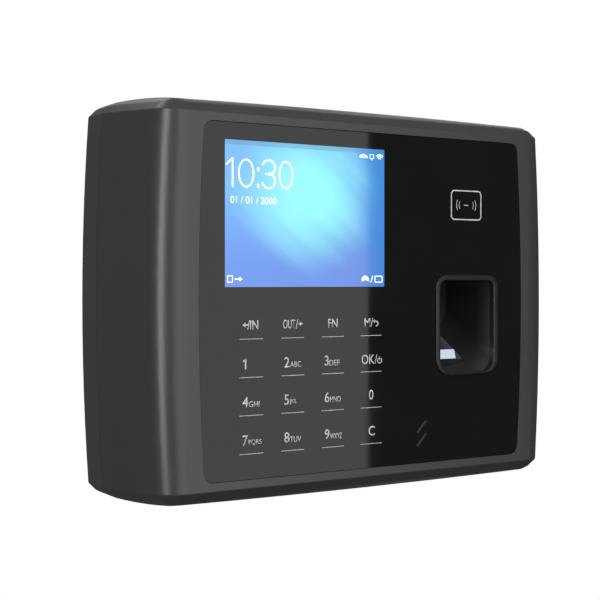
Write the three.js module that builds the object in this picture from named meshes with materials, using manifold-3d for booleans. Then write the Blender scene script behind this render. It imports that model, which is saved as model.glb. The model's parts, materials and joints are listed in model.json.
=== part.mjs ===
// Wall-mounted fingerprint and card terminal on its wall plate.
// Millimetres. +X is right as seen from the front, +Y points into the wall, +Z is up.
// The origin is the centre of the wall plate's back face, where it touches the wall.
import * as THREE from 'three';
import { mergeVertices } from 'three/addons/utils/BufferGeometryUtils.js';
import Module from 'manifold-3d';

const wasm = await Module();
wasm.setup();

// Case: front housing and rear cover share one bowed, drafted form.
const FRONT = -63.5; // y of the front face
const SPLIT = -15.5; // y where the front housing ends
const BACK_RIM = -0.6; // y of the rear cover's rim, just clear of the wall
const SEAM = 0.3;
const WALL = 2.8;
const LIP = 1.6; // thickness of the rear cover's lip inside the front housing
const LIP_REACH = 3;
const BEYOND_BACK = 12; // forms run on past the wall plane and are trimmed to length
const FACE_HALF_WIDTH = 90;
const WAIST_HALF_WIDTH = 94.3;
const BACK_HALF_WIDTH = 94.1;
const EDGE_RADIUS = 10;
const SIDE_HALF_HEIGHT = 67.7; // where the top and bottom bevels start, at the front
const BEVEL = 6; // before the crown cuts it short
const DRAFT = 0.07; // half-height gained per millimetre of depth
const BOW_RADIUS = 1000; // the sides curve outward with this radius in front view
const BOW_STEPS = 10;

// Crown: the top and bottom curve from the front up to a crest near the back.
const CROWN_HALF_HEIGHT = 76.3;
const CROWN_DEPTH = 50; // from the front face to the crest
const CROWN_RADIUS = 292;
const CROWN_BOW_RADIUS = 5000; // the crest curves down towards the sides with this radius
const CROWN_STEPS = 10;
const FLARE = (WAIST_HALF_WIDTH - FACE_HALF_WIDTH) / (SPLIT - FRONT);

// Front panel and the wall behind it.
const PANEL_HALF_WIDTH = 75.25;
const PANEL_HALF_HEIGHT = 64.5;
const PANEL_RADIUS = 3.75;
const PANEL_BOW_RADIUS = 900;
const PANEL_GAP = 0.35;
const PANEL_FRONT = -63.25;
const PANEL_BACK = -61.45;
const POCKET_FLOOR = -60.8;
const FRONT_WALL_BACK = -58.6;

// Screen module: active area 70.08 x 52.56 in a 76.9 x 63.9 module.
const SCREEN = { x0: -68.7, x1: 8.2, z0: -2.7, z1: 61.2 };
const KEYS = { x0: -66, x1: 8, z0: -58.5, z1: -5.5 };

// Finger recess.
const FRAME_OUTER = { x0: 30.6, x1: 62.6, z0: -30.3, z1: 9.9, radius: 5, lower: 6 };
const FRAME_INNER = { x0: 32.5, x1: 60.2, z0: -29.6, z1: 7.6, radius: 3, lower: 5.8 };
const FRAME_FRONT = -63.9;
const WELL_WALL = 1.8;
const WELL_BACK = -32.5;
const TILT = THREE.MathUtils.degToRad(32); // the trough rises this much towards the back
const TROUGH_RADIUS = 15;
const WINDOW_HALF_WIDTH = 8;
const WINDOW_HALF_LENGTH = 10;
const WINDOW = new THREE.Vector3(46.35, -43.12, -20.3); // centre of the sensor window

// Boards.
const BOARD_FRONT = -26.6;
const BOARD_BACK = -25;
const BOARD = { x0: -75, x1: 75, z0: -22, z1: 58 };
const PARTS_BACK = -24.8; // front plane of what stands on the board's back side

// Cable bay, an open pocket in the rear cover.
const BAY = { x0: -48, x1: 30, y0: -28, z0: -58, z1: -26 };
const BAY_WALL = 2;
const BACK_WALL_FRONT = -4.9;
const RECESS_FLOOR = -2.5;

// Wall plate and lift-off.
const PLATE_FRONT = -1.5;
const PLATE = { x0: -66, x1: 66, z0: -64, z1: 64 };
const LIFT = 6;
const HOOKS = [[-56, 44], [56, 44], [-56, -8], [56, -8]];
const HOOK = { width: 10, height: 7, thick: 1.5, reach: -8 };
const SECURITY_Y = -8;
const SECURITY_SEAT = -74.3; // height of the security screw's seat under the bottom wall

const HOUSING_SCREWS = [[-80, 58], [80, 58], [-80, -58], [80, -58]];
const BOARD_SCREWS = [[-70, 52], [70, 52], [-70, -14], [70, -14]];
const BRACKET_SCREWS = [[-74, 52], [14, 52], [-74, 6], [14, 6]];
const GUIDE_SCREWS = [[26.35, -11], [66.35, -11]];

// ---------- geometry helpers ----------

// Turns a closed geometry into a manifold solid for cutting and joining.
function solid(geometry) {
  const bare = geometry.clone();
  bare.deleteAttribute('normal');
  bare.deleteAttribute('uv');
  const merged = mergeVertices(bare, 1e-4);
  const corners = merged.index.array;
  const triangles = [];
  for (let i = 0; i < corners.length; i += 3) {
    const [a, b, c] = corners.slice(i, i + 3);
    if (a !== b && b !== c && c !== a) triangles.push(a, b, c);
  }
  return new wasm.Manifold(new wasm.Mesh({
    numProp: 3,
    vertProperties: new Float32Array(merged.attributes.position.array),
    triVerts: new Uint32Array(triangles),
  }));
}

function geometryOf(manifold) {
  const mesh = manifold.getMesh();
  const geometry = new THREE.BufferGeometry();
  geometry.setAttribute('position', new THREE.BufferAttribute(new Float32Array(mesh.vertProperties), 3));
  geometry.setIndex(new THREE.BufferAttribute(new Uint32Array(mesh.triVerts), 1));
  return geometry;
}

// The two lower corners may have a radius of their own.
function roundedRect({ x0, x1, z0, z1, radius, lower = radius }) {
  const shape = new THREE.Shape();
  shape.absarc(x1 - radius, z1 - radius, radius, 0, Math.PI / 2, false);
  shape.absarc(x0 + radius, z1 - radius, radius, Math.PI / 2, Math.PI, false);
  shape.absarc(x0 + lower, z0 + lower, lower, Math.PI, 1.5 * Math.PI, false);
  shape.absarc(x1 - lower, z0 + lower, lower, 1.5 * Math.PI, 2 * Math.PI, false);
  return shape;
}

// A shape drawn in (x, z), made solid between two y planes.
function slab(shape, y0, y1, curveSegments = 4) {
  const geometry = new THREE.ExtrudeGeometry(shape, { depth: y1 - y0, bevelEnabled: false, curveSegments });
  return geometry.rotateX(Math.PI / 2).translate(0, y1, 0);
}

// A shape drawn in (y, z), made solid between two x planes.
function bar(shape, x0, x1, curveSegments = 4, steps = 1) {
  const settings = { depth: x1 - x0, bevelEnabled: false, curveSegments, steps };
  const geometry = new THREE.ExtrudeGeometry(shape, settings);
  const basis = new THREE.Matrix4().makeBasis(
    new THREE.Vector3(0, 1, 0),
    new THREE.Vector3(0, 0, 1),
    new THREE.Vector3(1, 0, 0),
  );
  return geometry.applyMatrix4(basis).translate(x0, 0, 0);
}

function block(x0, x1, y0, y1, z0, z1) {
  const geometry = new THREE.BoxGeometry(x1 - x0, y1 - y0, z1 - z0);
  return geometry.translate((x0 + x1) / 2, (y0 + y1) / 2, (z0 + z1) / 2);
}

// A round rod along Y, at (x, z).
function rod(radius, y0, y1, x = 0, z = 0, sides = 20) {
  return new THREE.CylinderGeometry(radius, radius, y1 - y0, sides).translate(x, (y0 + y1) / 2, z);
}

// A round rod along Z, at (x, y).
function post(radius, z0, z1, x = 0, y = 0, sides = 20) {
  const geometry = new THREE.CylinderGeometry(radius, radius, z1 - z0, sides).rotateX(Math.PI / 2);
  return geometry.translate(x, y, (z0 + z1) / 2);
}

function join(...geometries) {
  return geometries.map(solid).reduce((total, next) => total.add(next));
}

function cut(base, ...tools) {
  return tools.reduce((total, tool) => total.subtract(solid(tool)), base);
}

// ---------- case form ----------

const halfWidthAt = (y) => FACE_HALF_WIDTH + FLARE * (y - FRONT);

// The outline seen from above: round front corners and flared sides.
function planOutline(inset, front, back) {
  const half = halfWidthAt(front) - inset;
  const waist = WAIST_HALF_WIDTH - inset;
  const rear = BACK_HALF_WIDTH - inset;
  const radius = Math.max(EDGE_RADIUS - inset, BEVEL + 0.5);
  const slope = Math.atan(FLARE);
  const centre = half - radius * (1 - Math.sin(slope)) / Math.cos(slope);
  const plan = new THREE.Shape();
  plan.absarc(centre, front + radius, radius, -Math.PI / 2, -slope, false);
  plan.lineTo(waist, SPLIT);
  plan.lineTo(rear, back);
  plan.lineTo(-rear, back);
  plan.lineTo(-waist, SPLIT);
  plan.absarc(-centre, front + radius, radius, Math.PI + slope, 1.5 * Math.PI, false);
  return plan;
}

// The limit of the top and bottom faces: crowned from front to back, slightly bowed across.
function crownForm(inset) {
  const top = CROWN_HALF_HEIGHT - inset;
  const crest = FRONT + CROWN_DEPTH;
  const sweep = Math.asin((CROWN_DEPTH + 1) / CROWN_RADIUS);
  const side = new THREE.Shape();
  side.absarc(crest, top - CROWN_RADIUS, CROWN_RADIUS, Math.PI / 2, Math.PI / 2 + sweep, false);
  side.absarc(crest, CROWN_RADIUS - top, CROWN_RADIUS, -Math.PI / 2 - sweep, -Math.PI / 2, false);
  side.lineTo(BEYOND_BACK, -top);
  side.lineTo(BEYOND_BACK, top);
  const geometry = bar(side, -100, 100, 5, CROWN_STEPS);
  const position = geometry.attributes.position;
  for (let i = 0; i < position.count; i += 1) {
    const sag = position.getX(i) ** 2 / (2 * CROWN_BOW_RADIUS);
    position.setZ(i, position.getZ(i) * (1 - sag / CROWN_HALF_HEIGHT));
  }
  return solid(geometry);
}

// The whole case form, shrunk by an inset: bevelled upright extrusion, drafted and bowed.
function caseForm(inset, front, back) {
  const height = 2 * (SIDE_HALF_HEIGHT - inset);
  const geometry = new THREE.ExtrudeGeometry(planOutline(inset, front, back), {
    depth: height,
    steps: BOW_STEPS,
    bevelEnabled: true,
    bevelThickness: BEVEL,
    bevelSize: BEVEL,
    bevelOffset: -BEVEL,
    bevelSegments: 1,
    curveSegments: 5,
  }).translate(0, 0, -height / 2);
  const position = geometry.attributes.position;
  for (let i = 0; i < position.count; i += 1) {
    const depth = Math.min(position.getY(i), SPLIT) - FRONT;
    const z = position.getZ(i) * (1 + DRAFT * depth / SIDE_HALF_HEIGHT);
    position.setX(i, position.getX(i) * (1 - z * z / (2 * BOW_RADIUS * WAIST_HALF_WIDTH)));
    position.setZ(i, z);
  }
  return solid(geometry).intersect(crownForm(inset));
}

// The front panel's outline: straight top and bottom, bowed sides, small corner radius.
function panelOutline(grow) {
  const straight = PANEL_HALF_HEIGHT - PANEL_RADIUS;
  const radius = PANEL_RADIUS + grow;
  const sideAt = (z) => PANEL_HALF_WIDTH + grow - z * z / (2 * PANEL_BOW_RADIUS);
  const corner = sideAt(straight) - radius;
  const steps = 8;
  const shape = new THREE.Shape();
  shape.absarc(corner, straight, radius, 0, Math.PI / 2, false);
  shape.absarc(-corner, straight, radius, Math.PI / 2, Math.PI, false);
  for (let i = 1; i < steps; i += 1) {
    const z = straight * (1 - 2 * i / steps);
    shape.lineTo(-sideAt(z), z);
  }
  shape.absarc(-corner, -straight, radius, Math.PI, 1.5 * Math.PI, false);
  shape.absarc(corner, -straight, radius, 1.5 * Math.PI, 2 * Math.PI, false);
  for (let i = 1; i < steps; i += 1) {
    const z = straight * (2 * i / steps - 1);
    shape.lineTo(sideAt(z), z);
  }
  return shape;
}

// ---------- case pieces ----------

const USB = { x0: 60.5, x1: 73.6, y0: -24.8, y1: -19.1, z0: -72.4, z1: -58.4 };
const USB_PAD_TOP = USB.z0 - 0.7; // the flap's pad stops this high, just outside the port
const FLAP = { x0: 58.4, x1: 75.7, y0: -26.2, y1: -17.7, z0: -75.7, z1: -74.2 };
const SPEAKER = { x: 23.4, z: -52.8, radius: 9 };

function frontHousing() {
  const bosses = [
    ...HOUSING_SCREWS.map(([x, z]) => rod(4.2, POCKET_FLOOR + 1, SPLIT - SEAM, x, z, 16)),
    ...GUIDE_SCREWS.map(([x, z]) => rod(3, POCKET_FLOOR + 1, -50, x, z, 12)),
    ...BRACKET_SCREWS.map(([x, z]) => rod(3, POCKET_FLOOR + 1, -57, x, z, 12)),
  ];
  const bossHoles = [
    ...HOUSING_SCREWS.map(([x, z]) => rod(1.65, -30, SPLIT + 1, x, z, 12)),
    ...GUIDE_SCREWS.map(([x, z]) => rod(1.3, -57, -49, x, z, 10)),
    ...BRACKET_SCREWS.map(([x, z]) => rod(1.3, -60.2, -56, x, z, 10)),
  ];
  const shell = caseForm(0, FRONT, BEYOND_BACK)
    .intersect(solid(block(-120, 120, -80, SPLIT, -100, 100)))
    .subtract(caseForm(WALL, FRONT_WALL_BACK, BEYOND_BACK));
  const filled = bosses.reduce((total, boss) => total.add(solid(boss)), shell);
  return geometryOf(cut(
    filled,
    ...bossHoles,
    slab(panelOutline(PANEL_GAP), FRONT - 1, POCKET_FLOOR),
    block(SCREEN.x0 - 0.5, SCREEN.x1 + 0.5, -62, -57, SCREEN.z0 - 0.5, SCREEN.z1 + 0.5),
    block(KEYS.x0 - 0.5, KEYS.x1 + 0.5, -62, -57, KEYS.z0 - 0.5, KEYS.z1 + 0.5),
    block(FRAME_INNER.x0 - 2.3, FRAME_INNER.x1 + 2.3, -62, -57, FRAME_INNER.z0 - 2.3, FRAME_INNER.z1 + 2.3),
    rod(6.5, -62, -57, SPEAKER.x, SPEAKER.z),
    block(FLAP.x0 - 0.3, FLAP.x1 + 0.3, FLAP.y0 - 0.3, FLAP.y1 + 0.3, -80, FLAP.z1 + 0.3),
    block(USB.x0 - 0.3, USB.x1 + 0.3, USB.y0 - 0.3, USB.y1 + 0.3, -80, -70),
  ));
}

// Two parallel sound slits, leaning to the right.
function slitTools(y0, y1) {
  const lean = Math.atan2(4.9, 4.7);
  return [-50.2, -55.4].map((z) => {
    const slit = roundedRect({ x0: -3.3, x1: 3.3, z0: -0.45, z1: 0.45, radius: 0.44 });
    return slab(slit, y0, y1, 2).rotateY(-lean).translate(SPEAKER.x, 0, z);
  });
}

function frontPanel() {
  const opening = {
    x0: FRAME_OUTER.x0 - 0.25,
    x1: FRAME_OUTER.x1 + 0.25,
    z0: FRAME_OUTER.z0 - 0.25,
    z1: FRAME_OUTER.z1 + 0.25,
    radius: FRAME_OUTER.radius + 0.25,
    lower: FRAME_OUTER.lower + 0.25,
  };
  const panel = solid(slab(panelOutline(0), PANEL_FRONT, PANEL_BACK));
  const tools = [slab(roundedRect(opening), FRONT - 2, POCKET_FLOOR), ...slitTools(FRONT - 2, POCKET_FLOOR)];
  return geometryOf(cut(panel, ...tools));
}

function panelGasket() {
  const y0 = PANEL_BACK + 0.1;
  const y1 = POCKET_FLOOR - 0.1;
  const ring = solid(slab(panelOutline(-0.6), y0, y1));
  return geometryOf(cut(ring, block(-71.2, 71.2, y0 - 1, y1 + 1, -62.4, 62.4)));
}

function rearCover() {
  const openWall = WALL + LIP;
  const shell = caseForm(0, FRONT, BEYOND_BACK)
    .intersect(solid(block(-120, 120, SPLIT + SEAM, BACK_RIM, -100, 100)))
    .subtract(caseForm(openWall, -40, BACK_WALL_FRONT));
  const lip = caseForm(WALL + 0.35, -40, BEYOND_BACK)
    .intersect(solid(block(-120, 120, SPLIT - LIP_REACH, SPLIT + 2, -100, 100)))
    .subtract(caseForm(openWall, -50, BEYOND_BACK));
  const inner = [
    block(BAY.x0 - BAY_WALL, BAY.x1 + BAY_WALL, BAY.y0 - BAY_WALL, -3, BAY.z0 - BAY_WALL, BAY.z1 + BAY_WALL),
    ...HOUSING_SCREWS.map(([x, z]) => rod(4.5, SPLIT + SEAM, -2, x, z, 16)),
    ...BOARD_SCREWS.map(([x, z]) => rod(3, PARTS_BACK, -3, x, z, 12)),
  ];
  const filled = inner.reduce((total, piece) => total.add(solid(piece)), shell.add(lip));
  return geometryOf(cut(
    filled,
    block(PLATE.x0 - 2, PLATE.x1 + 2, RECESS_FLOOR, 5, PLATE.z0 - LIFT - 1, PLATE.z1 + 2),
    block(BAY.x0, BAY.x1, BAY.y0, 5, BAY.z0, BAY.z1),
    ...HOUSING_SCREWS.map(([x, z]) => rod(1.7, SPLIT - 1, 5, x, z, 12)),
    ...HOUSING_SCREWS.map(([x, z]) => rod(3.2, -4, 5, x, z, 16)),
    ...BOARD_SCREWS.map(([x, z]) => rod(1.3, PARTS_BACK - 1, -14, x, z, 10)),
    ...HOOKS.map(([x, z]) => block(x - 5.6, x + 5.6, -12, 5, z - LIFT - 0.5, z + HOOK.thick + 0.25)),
    ...connectorCutouts(),
    block(-7, 7, -12, 5, PLATE.z0 - LIFT - 0.5, PLATE.z0 + 1.8),
    rod(1.8, -12, 5, TAMPER.x, TAMPER.z, 14),
    post(1.75, -80, -68, 0, SECURITY_Y, 14),
    post(3.3, -80, SECURITY_SEAT + 0.3, 0, SECURITY_Y, 18),
  ));
}

// ---------- sockets in the cable bay ----------

const SOCKET_MOUTH = BAY.z1 + 0.6;
const NETWORK = { x0: -46, x1: -30, y0: PARTS_BACK, y1: -11.3, z0: SOCKET_MOUTH, z1: -4 };
const POWER = { x0: -26, x1: -17, y0: PARTS_BACK, y1: -13.8, z0: SOCKET_MOUTH, z1: -11 };
const RESET = { x0: -13.5, x1: -7.5, y0: PARTS_BACK, y1: -20.8, z0: -23, z1: -19 };
const TERMINALS = { x0: -4, x1: 28, y0: PARTS_BACK, y1: -15.8, z0: SOCKET_MOUTH, z1: -14 };
const TERMINAL_PITCH = 3.5;
const TERMINAL_COUNT = 9;
const RESET_Y = -22.8;
const RESET_X = -10.5;
const TAMPER = { x: 40, z: 24 };

function boxOf({ x0, x1, y0, y1, z0, z1 }, grow = 0) {
  return block(x0 - grow, x1 + grow, y0 - grow, y1 + grow, z0, z1);
}

function connectorCutouts() {
  const throughWall = [NETWORK, POWER, TERMINALS].map((socket) => boxOf({ ...socket, z0: -30, z1: 0 }, 0.3));
  return [...throughWall, post(2, -30, BAY.z1 + BAY_WALL + 1, RESET_X, RESET_Y, 14)];
}

function networkJack() {
  const sideWall = 2;
  const latchInset = 5;
  const plugBack = -14.6;
  const mouth = block(NETWORK.x0 + sideWall, NETWORK.x1 - sideWall, NETWORK.y0 + sideWall, plugBack,
    NETWORK.z0 - 1, -11);
  const latchSlot = block(NETWORK.x0 + latchInset, NETWORK.x1 - latchInset, plugBack - 0.4, -12.6,
    NETWORK.z0 - 1, -13);
  return geometryOf(cut(solid(boxOf(NETWORK)), mouth, latchSlot));
}

function powerJack() {
  const centreX = (POWER.x0 + POWER.x1) / 2;
  const centreY = -18.9;
  const barrel = solid(boxOf(POWER));
  const bored = cut(barrel, post(3.2, POWER.z0 - 1, -14, centreX, centreY, 20));
  return geometryOf(bored.add(solid(post(1, POWER.z0 + 1, -13, centreX, centreY, 10))));
}

function terminalBlock() {
  const tools = [];
  for (let i = 0; i < TERMINAL_COUNT; i += 1) {
    const x = TERMINALS.x0 + 2 + TERMINAL_PITCH * i;
    tools.push(block(x - 1.2, x + 1.2, -23.2, -20.4, TERMINALS.z0 - 1, -19));
    tools.push(rod(1.3, -17.4, -14, x, -20.4, 10));
  }
  return geometryOf(cut(solid(boxOf(TERMINALS)), ...tools));
}

function resetSwitch() {
  return geometryOf(cut(solid(boxOf(RESET)), post(1.7, RESET.z0 - 1, RESET.z0 + 2.4, RESET_X, RESET_Y, 14)));
}

function resetButton() {
  return post(1.4, BAY.z1 - 0.8, RESET.z0 + 1.4, RESET_X, RESET_Y, 14);
}

function tamperSwitch() {
  const body = solid(block(TAMPER.x - 6.4, TAMPER.x + 6.4, -13.5, -5.1, TAMPER.z - 3.2, TAMPER.z + 3.2));
  return geometryOf(cut(body, rod(1.8, -12, 0, TAMPER.x, TAMPER.z, 14)));
}

function tamperPlunger() {
  return rod(1.45, -10, PLATE_FRONT - 0.3, TAMPER.x, TAMPER.z, 14);
}

function usbPort() {
  const mouth = block(USB.x0 + 0.5, USB.x1 - 0.5, USB.y0 + 0.5, USB.y1 - 0.5, USB.z0 - 1, USB.z0 + 9);
  const tongue = block(USB.x0 + 1.2, USB.x1 - 1.2, USB.y0 + 0.9, USB.y0 + 2.6, USB.z0 + 0.8, USB.z0 + 10);
  return geometryOf(cut(solid(boxOf(USB)), mouth).add(solid(tongue)));
}

function usbCover() {
  const pad = block(USB.x0 + 0.2, USB.x1 - 0.2, USB.y0 + 0.2, USB.y1 - 0.2, FLAP.z1 - 0.5, USB_PAD_TOP);
  const grip = bar(new THREE.Shape([
    new THREE.Vector2(FLAP.y0 + 2, FLAP.z0 + 0.5),
    new THREE.Vector2(FLAP.y0 + 3, FLAP.z0 - 0.2),
    new THREE.Vector2(FLAP.y1 - 3, FLAP.z0 - 0.2),
    new THREE.Vector2(FLAP.y1 - 2, FLAP.z0 + 0.5),
  ]), FLAP.x0 + 1, FLAP.x0 + 3);
  return geometryOf(join(boxOf(FLAP), pad, grip));
}

// ---------- finger recess ----------

function fingerFrame() {
  const ring = solid(slab(roundedRect(FRAME_OUTER), FRAME_FRONT, -61.4, 6));
  return geometryOf(cut(ring, slab(roundedRect(FRAME_INNER), -70, -50, 6)));
}

// Basis of the tilted trough: x across, y up the slope, z out of the sensor window.
function tilted(geometry) {
  return geometry.rotateX(TILT).translate(WINDOW.x, WINDOW.y, WINDOW.z);
}

function troughTool() {
  const sag = TROUGH_RADIUS - Math.sqrt(TROUGH_RADIUS ** 2 - WINDOW_HALF_WIDTH ** 2);
  const channel = new THREE.Shape();
  channel.absarc(0, TROUGH_RADIUS - sag, TROUGH_RADIUS, Math.PI, 2 * Math.PI, false);
  channel.lineTo(TROUGH_RADIUS, 80);
  channel.lineTo(-TROUGH_RADIUS, 80);
  return tilted(slab(channel, -80, 40, 10));
}

function fingerGuide() {
  const outer = {
    x0: FRAME_INNER.x0 - WELL_WALL,
    x1: FRAME_INNER.x1 + WELL_WALL,
    top: FRAME_INNER.z1 + WELL_WALL,
    bottom: FRAME_INNER.z0 - WELL_WALL,
    front: -61.25,
    back: WELL_BACK + WELL_WALL,
  };
  const floorDrop = 4.6; // under the window plane, measured square to it
  const rise = Math.tan(TILT);
  const kneeY = WINDOW.y + (outer.bottom - WINDOW.z + floorDrop / Math.cos(TILT)) / rise;
  const backZ = WINDOW.z - floorDrop / Math.cos(TILT) + (outer.back - WINDOW.y) * rise;
  const side = new THREE.Shape([
    new THREE.Vector2(outer.front, outer.bottom),
    new THREE.Vector2(kneeY, outer.bottom),
    new THREE.Vector2(outer.back, backZ),
    new THREE.Vector2(outer.back, outer.top),
    new THREE.Vector2(outer.front, outer.top),
  ]);
  const ears = block(22, 70.7, -49.8, -47.8, -14, -8);
  const cavity = solid(slab(roundedRect(FRAME_INNER), -70, WELL_BACK, 6)).intersect(solid(troughTool()));
  const windowHole = tilted(block(
    -WINDOW_HALF_WIDTH - 0.3,
    WINDOW_HALF_WIDTH + 0.3,
    -WINDOW_HALF_LENGTH - 0.3,
    WINDOW_HALF_LENGTH + 0.3,
    -20,
    0.3,
  ));
  const body = join(bar(side, outer.x0, outer.x1), ears).subtract(cavity);
  return geometryOf(cut(body, windowHole, ...GUIDE_SCREWS.map(([x, z]) => rod(1.4, -55, -45, x, z, 10))));
}

// The sensor's pieces are drawn about the centre of its window, square to it.
function sensorPrism() {
  const side = new THREE.Shape([
    new THREE.Vector2(-WINDOW_HALF_LENGTH, -11),
    new THREE.Vector2(2, -11),
    new THREE.Vector2(WINDOW_HALF_LENGTH, -4.8),
    new THREE.Vector2(WINDOW_HALF_LENGTH, 0),
    new THREE.Vector2(-WINDOW_HALF_LENGTH, 0),
  ]);
  return bar(side, -WINDOW_HALF_WIDTH, WINDOW_HALF_WIDTH);
}

function sensorCase() {
  const box = solid(block(-12, 12, -13, 11.8, -19, -4.9));
  return geometryOf(cut(box, block(-10.5, 10.5, -11.7, 10.5, -17.6, 0)));
}

function sensorCamera() {
  const profile = [
    new THREE.Vector2(0, 0),
    new THREE.Vector2(4, 0),
    new THREE.Vector2(4, 1.6),
    new THREE.Vector2(2.8, 1.9),
    new THREE.Vector2(2.8, 4),
    new THREE.Vector2(1.6, 4),
    new THREE.Vector2(1, 3.4),
    new THREE.Vector2(0, 3.4),
  ];
  return new THREE.LatheGeometry(profile, 16).rotateX(Math.PI / 2);
}

// ---------- boards, ribbons, speaker ----------

function mainBoard() {
  const board = join(
    block(BOARD.x0, BOARD.x1, BOARD_FRONT, BOARD_BACK, BOARD.z0, BOARD.z1),
    block(59.5, BOARD.x1, BOARD_FRONT, BOARD_BACK, -64, BOARD.z0 + 1),
  );
  return geometryOf(cut(board, ...BOARD_SCREWS.map(([x, z]) => rod(1.4, -30, -20, x, z, 12))));
}

// A flat flexible ribbon: a route in (y, z) thickened and given a width along X.
function ribbon(route, x0, x1) {
  const half = 0.15;
  const curve = new THREE.CatmullRomCurve3(route.map(([y, z]) => new THREE.Vector3(y, z, 0)));
  const steps = 4 * route.length;
  const left = [];
  const right = [];
  for (let i = 0; i <= steps; i += 1) {
    const point = curve.getPointAt(i / steps);
    const along = curve.getTangentAt(i / steps);
    left.push(new THREE.Vector2(point.x - along.y * half, point.y + along.x * half));
    right.unshift(new THREE.Vector2(point.x + along.y * half, point.y - along.x * half));
  }
  return bar(new THREE.Shape([...left, ...right]), x0, x1);
}

function speaker() {
  const profile = [
    new THREE.Vector2(0, 4),
    new THREE.Vector2(4, 4),
    new THREE.Vector2(4, 2.6),
    new THREE.Vector2(9, 2.2),
    new THREE.Vector2(9, 0),
    new THREE.Vector2(7.8, 0),
    new THREE.Vector2(7.2, 0.5),
    new THREE.Vector2(2.6, 1.5),
    new THREE.Vector2(0, 1.1),
  ];
  return new THREE.LatheGeometry(profile.reverse(), 24);
}

function ring(outerRadius, innerRadius, y0, y1, sides = 24) {
  return geometryOf(cut(solid(rod(outerRadius, y0, y1, 0, 0, sides)), rod(innerRadius, y0 - 1, y1 + 1, 0, 0, sides)));
}

function antennaCoil() {
  const outer = roundedRect({ x0: -22, x1: 22, z0: -19, z1: 19, radius: 3 });
  outer.holes.push(roundedRect({ x0: -18, x1: 18, z0: -15, z1: 15, radius: 2 }));
  return slab(outer, 0, 0.3);
}

function screenBracket() {
  const frame = join(
    block(-71, 10.5, -56.8, -55.8, -2.2, 63.2),
    ...BRACKET_SCREWS.map(([x, z]) => block(Math.min(x - 3, -71), Math.max(x + 3, -71), -56.8, -55.8, z - 3, z + 3)),
  );
  const holes = BRACKET_SCREWS.map(([x, z]) => rod(1.3, -58, -54, x, z, 10));
  return geometryOf(cut(frame, block(-60, 0, -58, -54, 8, 53), ...holes));
}

// ---------- wall plate ----------

// A cone that opens towards the front of the plate, for a flat-headed wall screw.
function countersink(backRadius, frontRadius, x, z) {
  const height = -PLATE_FRONT;
  const cone = new THREE.CylinderGeometry(backRadius, frontRadius, height, 16);
  return cone.translate(x, PLATE_FRONT + height / 2, z);
}

function wallPlate() {
  const plate = [block(PLATE.x0, PLATE.x1, PLATE_FRONT, 0, PLATE.z0, PLATE.z1)];
  HOOKS.forEach(([x, z]) => {
    const left = x - HOOK.width / 2;
    const right = x + HOOK.width / 2;
    plate.push(block(left, right, HOOK.reach, PLATE_FRONT + 0.5, z, z + HOOK.thick));
    plate.push(block(left, right, HOOK.reach, HOOK.reach + HOOK.thick, z, z + HOOK.height));
  });
  plate.push(block(-6, 6, SECURITY_Y - 4, PLATE_FRONT + 0.5, PLATE.z0, PLATE.z0 + HOOK.thick));
  const wallScrews = [[-40, 56], [40, 56], [-40, 0], [40, 0]];
  return geometryOf(cut(
    join(...plate),
    slab(roundedRect({ x0: -44, x1: 26, z0: -56, z1: -28, radius: 4 }), -3, 1),
    ...wallScrews.map(([x, z]) => rod(2.3, -3, 1, x, z, 16)),
    ...wallScrews.map(([x, z]) => countersink(2.3, 4.3, x, z)),
    post(1.85, -70, -60, 0, SECURITY_Y, 16),
  ));
}

// ---------- fasteners and small parts ----------

// A pan-head screw along Y: the head's seat is at y = 0 and the shank runs to -length.
function plainScrew(headRadius, headHeight, shankRadius, length, sides = 10) {
  const profile = [
    new THREE.Vector2(0, -length),
    new THREE.Vector2(shankRadius * 0.6, -length),
    new THREE.Vector2(shankRadius, -length + shankRadius * 0.5),
    new THREE.Vector2(shankRadius, 0),
    new THREE.Vector2(headRadius, 0),
    new THREE.Vector2(headRadius, headHeight * 0.6),
    new THREE.Vector2(headRadius * 0.7, headHeight),
    new THREE.Vector2(0, headHeight),
  ];
  return new THREE.LatheGeometry(profile, sides);
}

// The same screw with a cross recess in its head.
function crossScrew(headRadius, headHeight, shankRadius, length) {
  const body = solid(plainScrew(headRadius, headHeight, shankRadius, length, 16));
  const arm = headRadius * 0.55;
  const half = headRadius * 0.12;
  const floor = headHeight * 0.35;
  return geometryOf(cut(
    body,
    block(-arm, arm, floor, headHeight + 1, -half, half),
    block(-half, half, floor, headHeight + 1, -arm, arm),
  ));
}

function coinCellHolder() {
  const body = solid(rod(11.6, 0, 4.6, 0, 0, 28));
  return geometryOf(cut(body, rod(10.3, 0.8, 6, 0, 0, 28), block(-4, 4, 2.5, 6, -14, 0)));
}

function capacitor() {
  const profile = [
    new THREE.Vector2(0, 0),
    new THREE.Vector2(4, 0),
    new THREE.Vector2(4, 1.4),
    new THREE.Vector2(3.7, 1.8),
    new THREE.Vector2(4, 2.2),
    new THREE.Vector2(4, 9.6),
    new THREE.Vector2(3.6, 10),
    new THREE.Vector2(0, 10),
  ];
  return new THREE.LatheGeometry(profile, 18);
}

// ---------- materials ----------

function finish(color, roughness, metalness = 0) {
  return new THREE.MeshStandardMaterial({ color, roughness, metalness });
}

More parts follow.
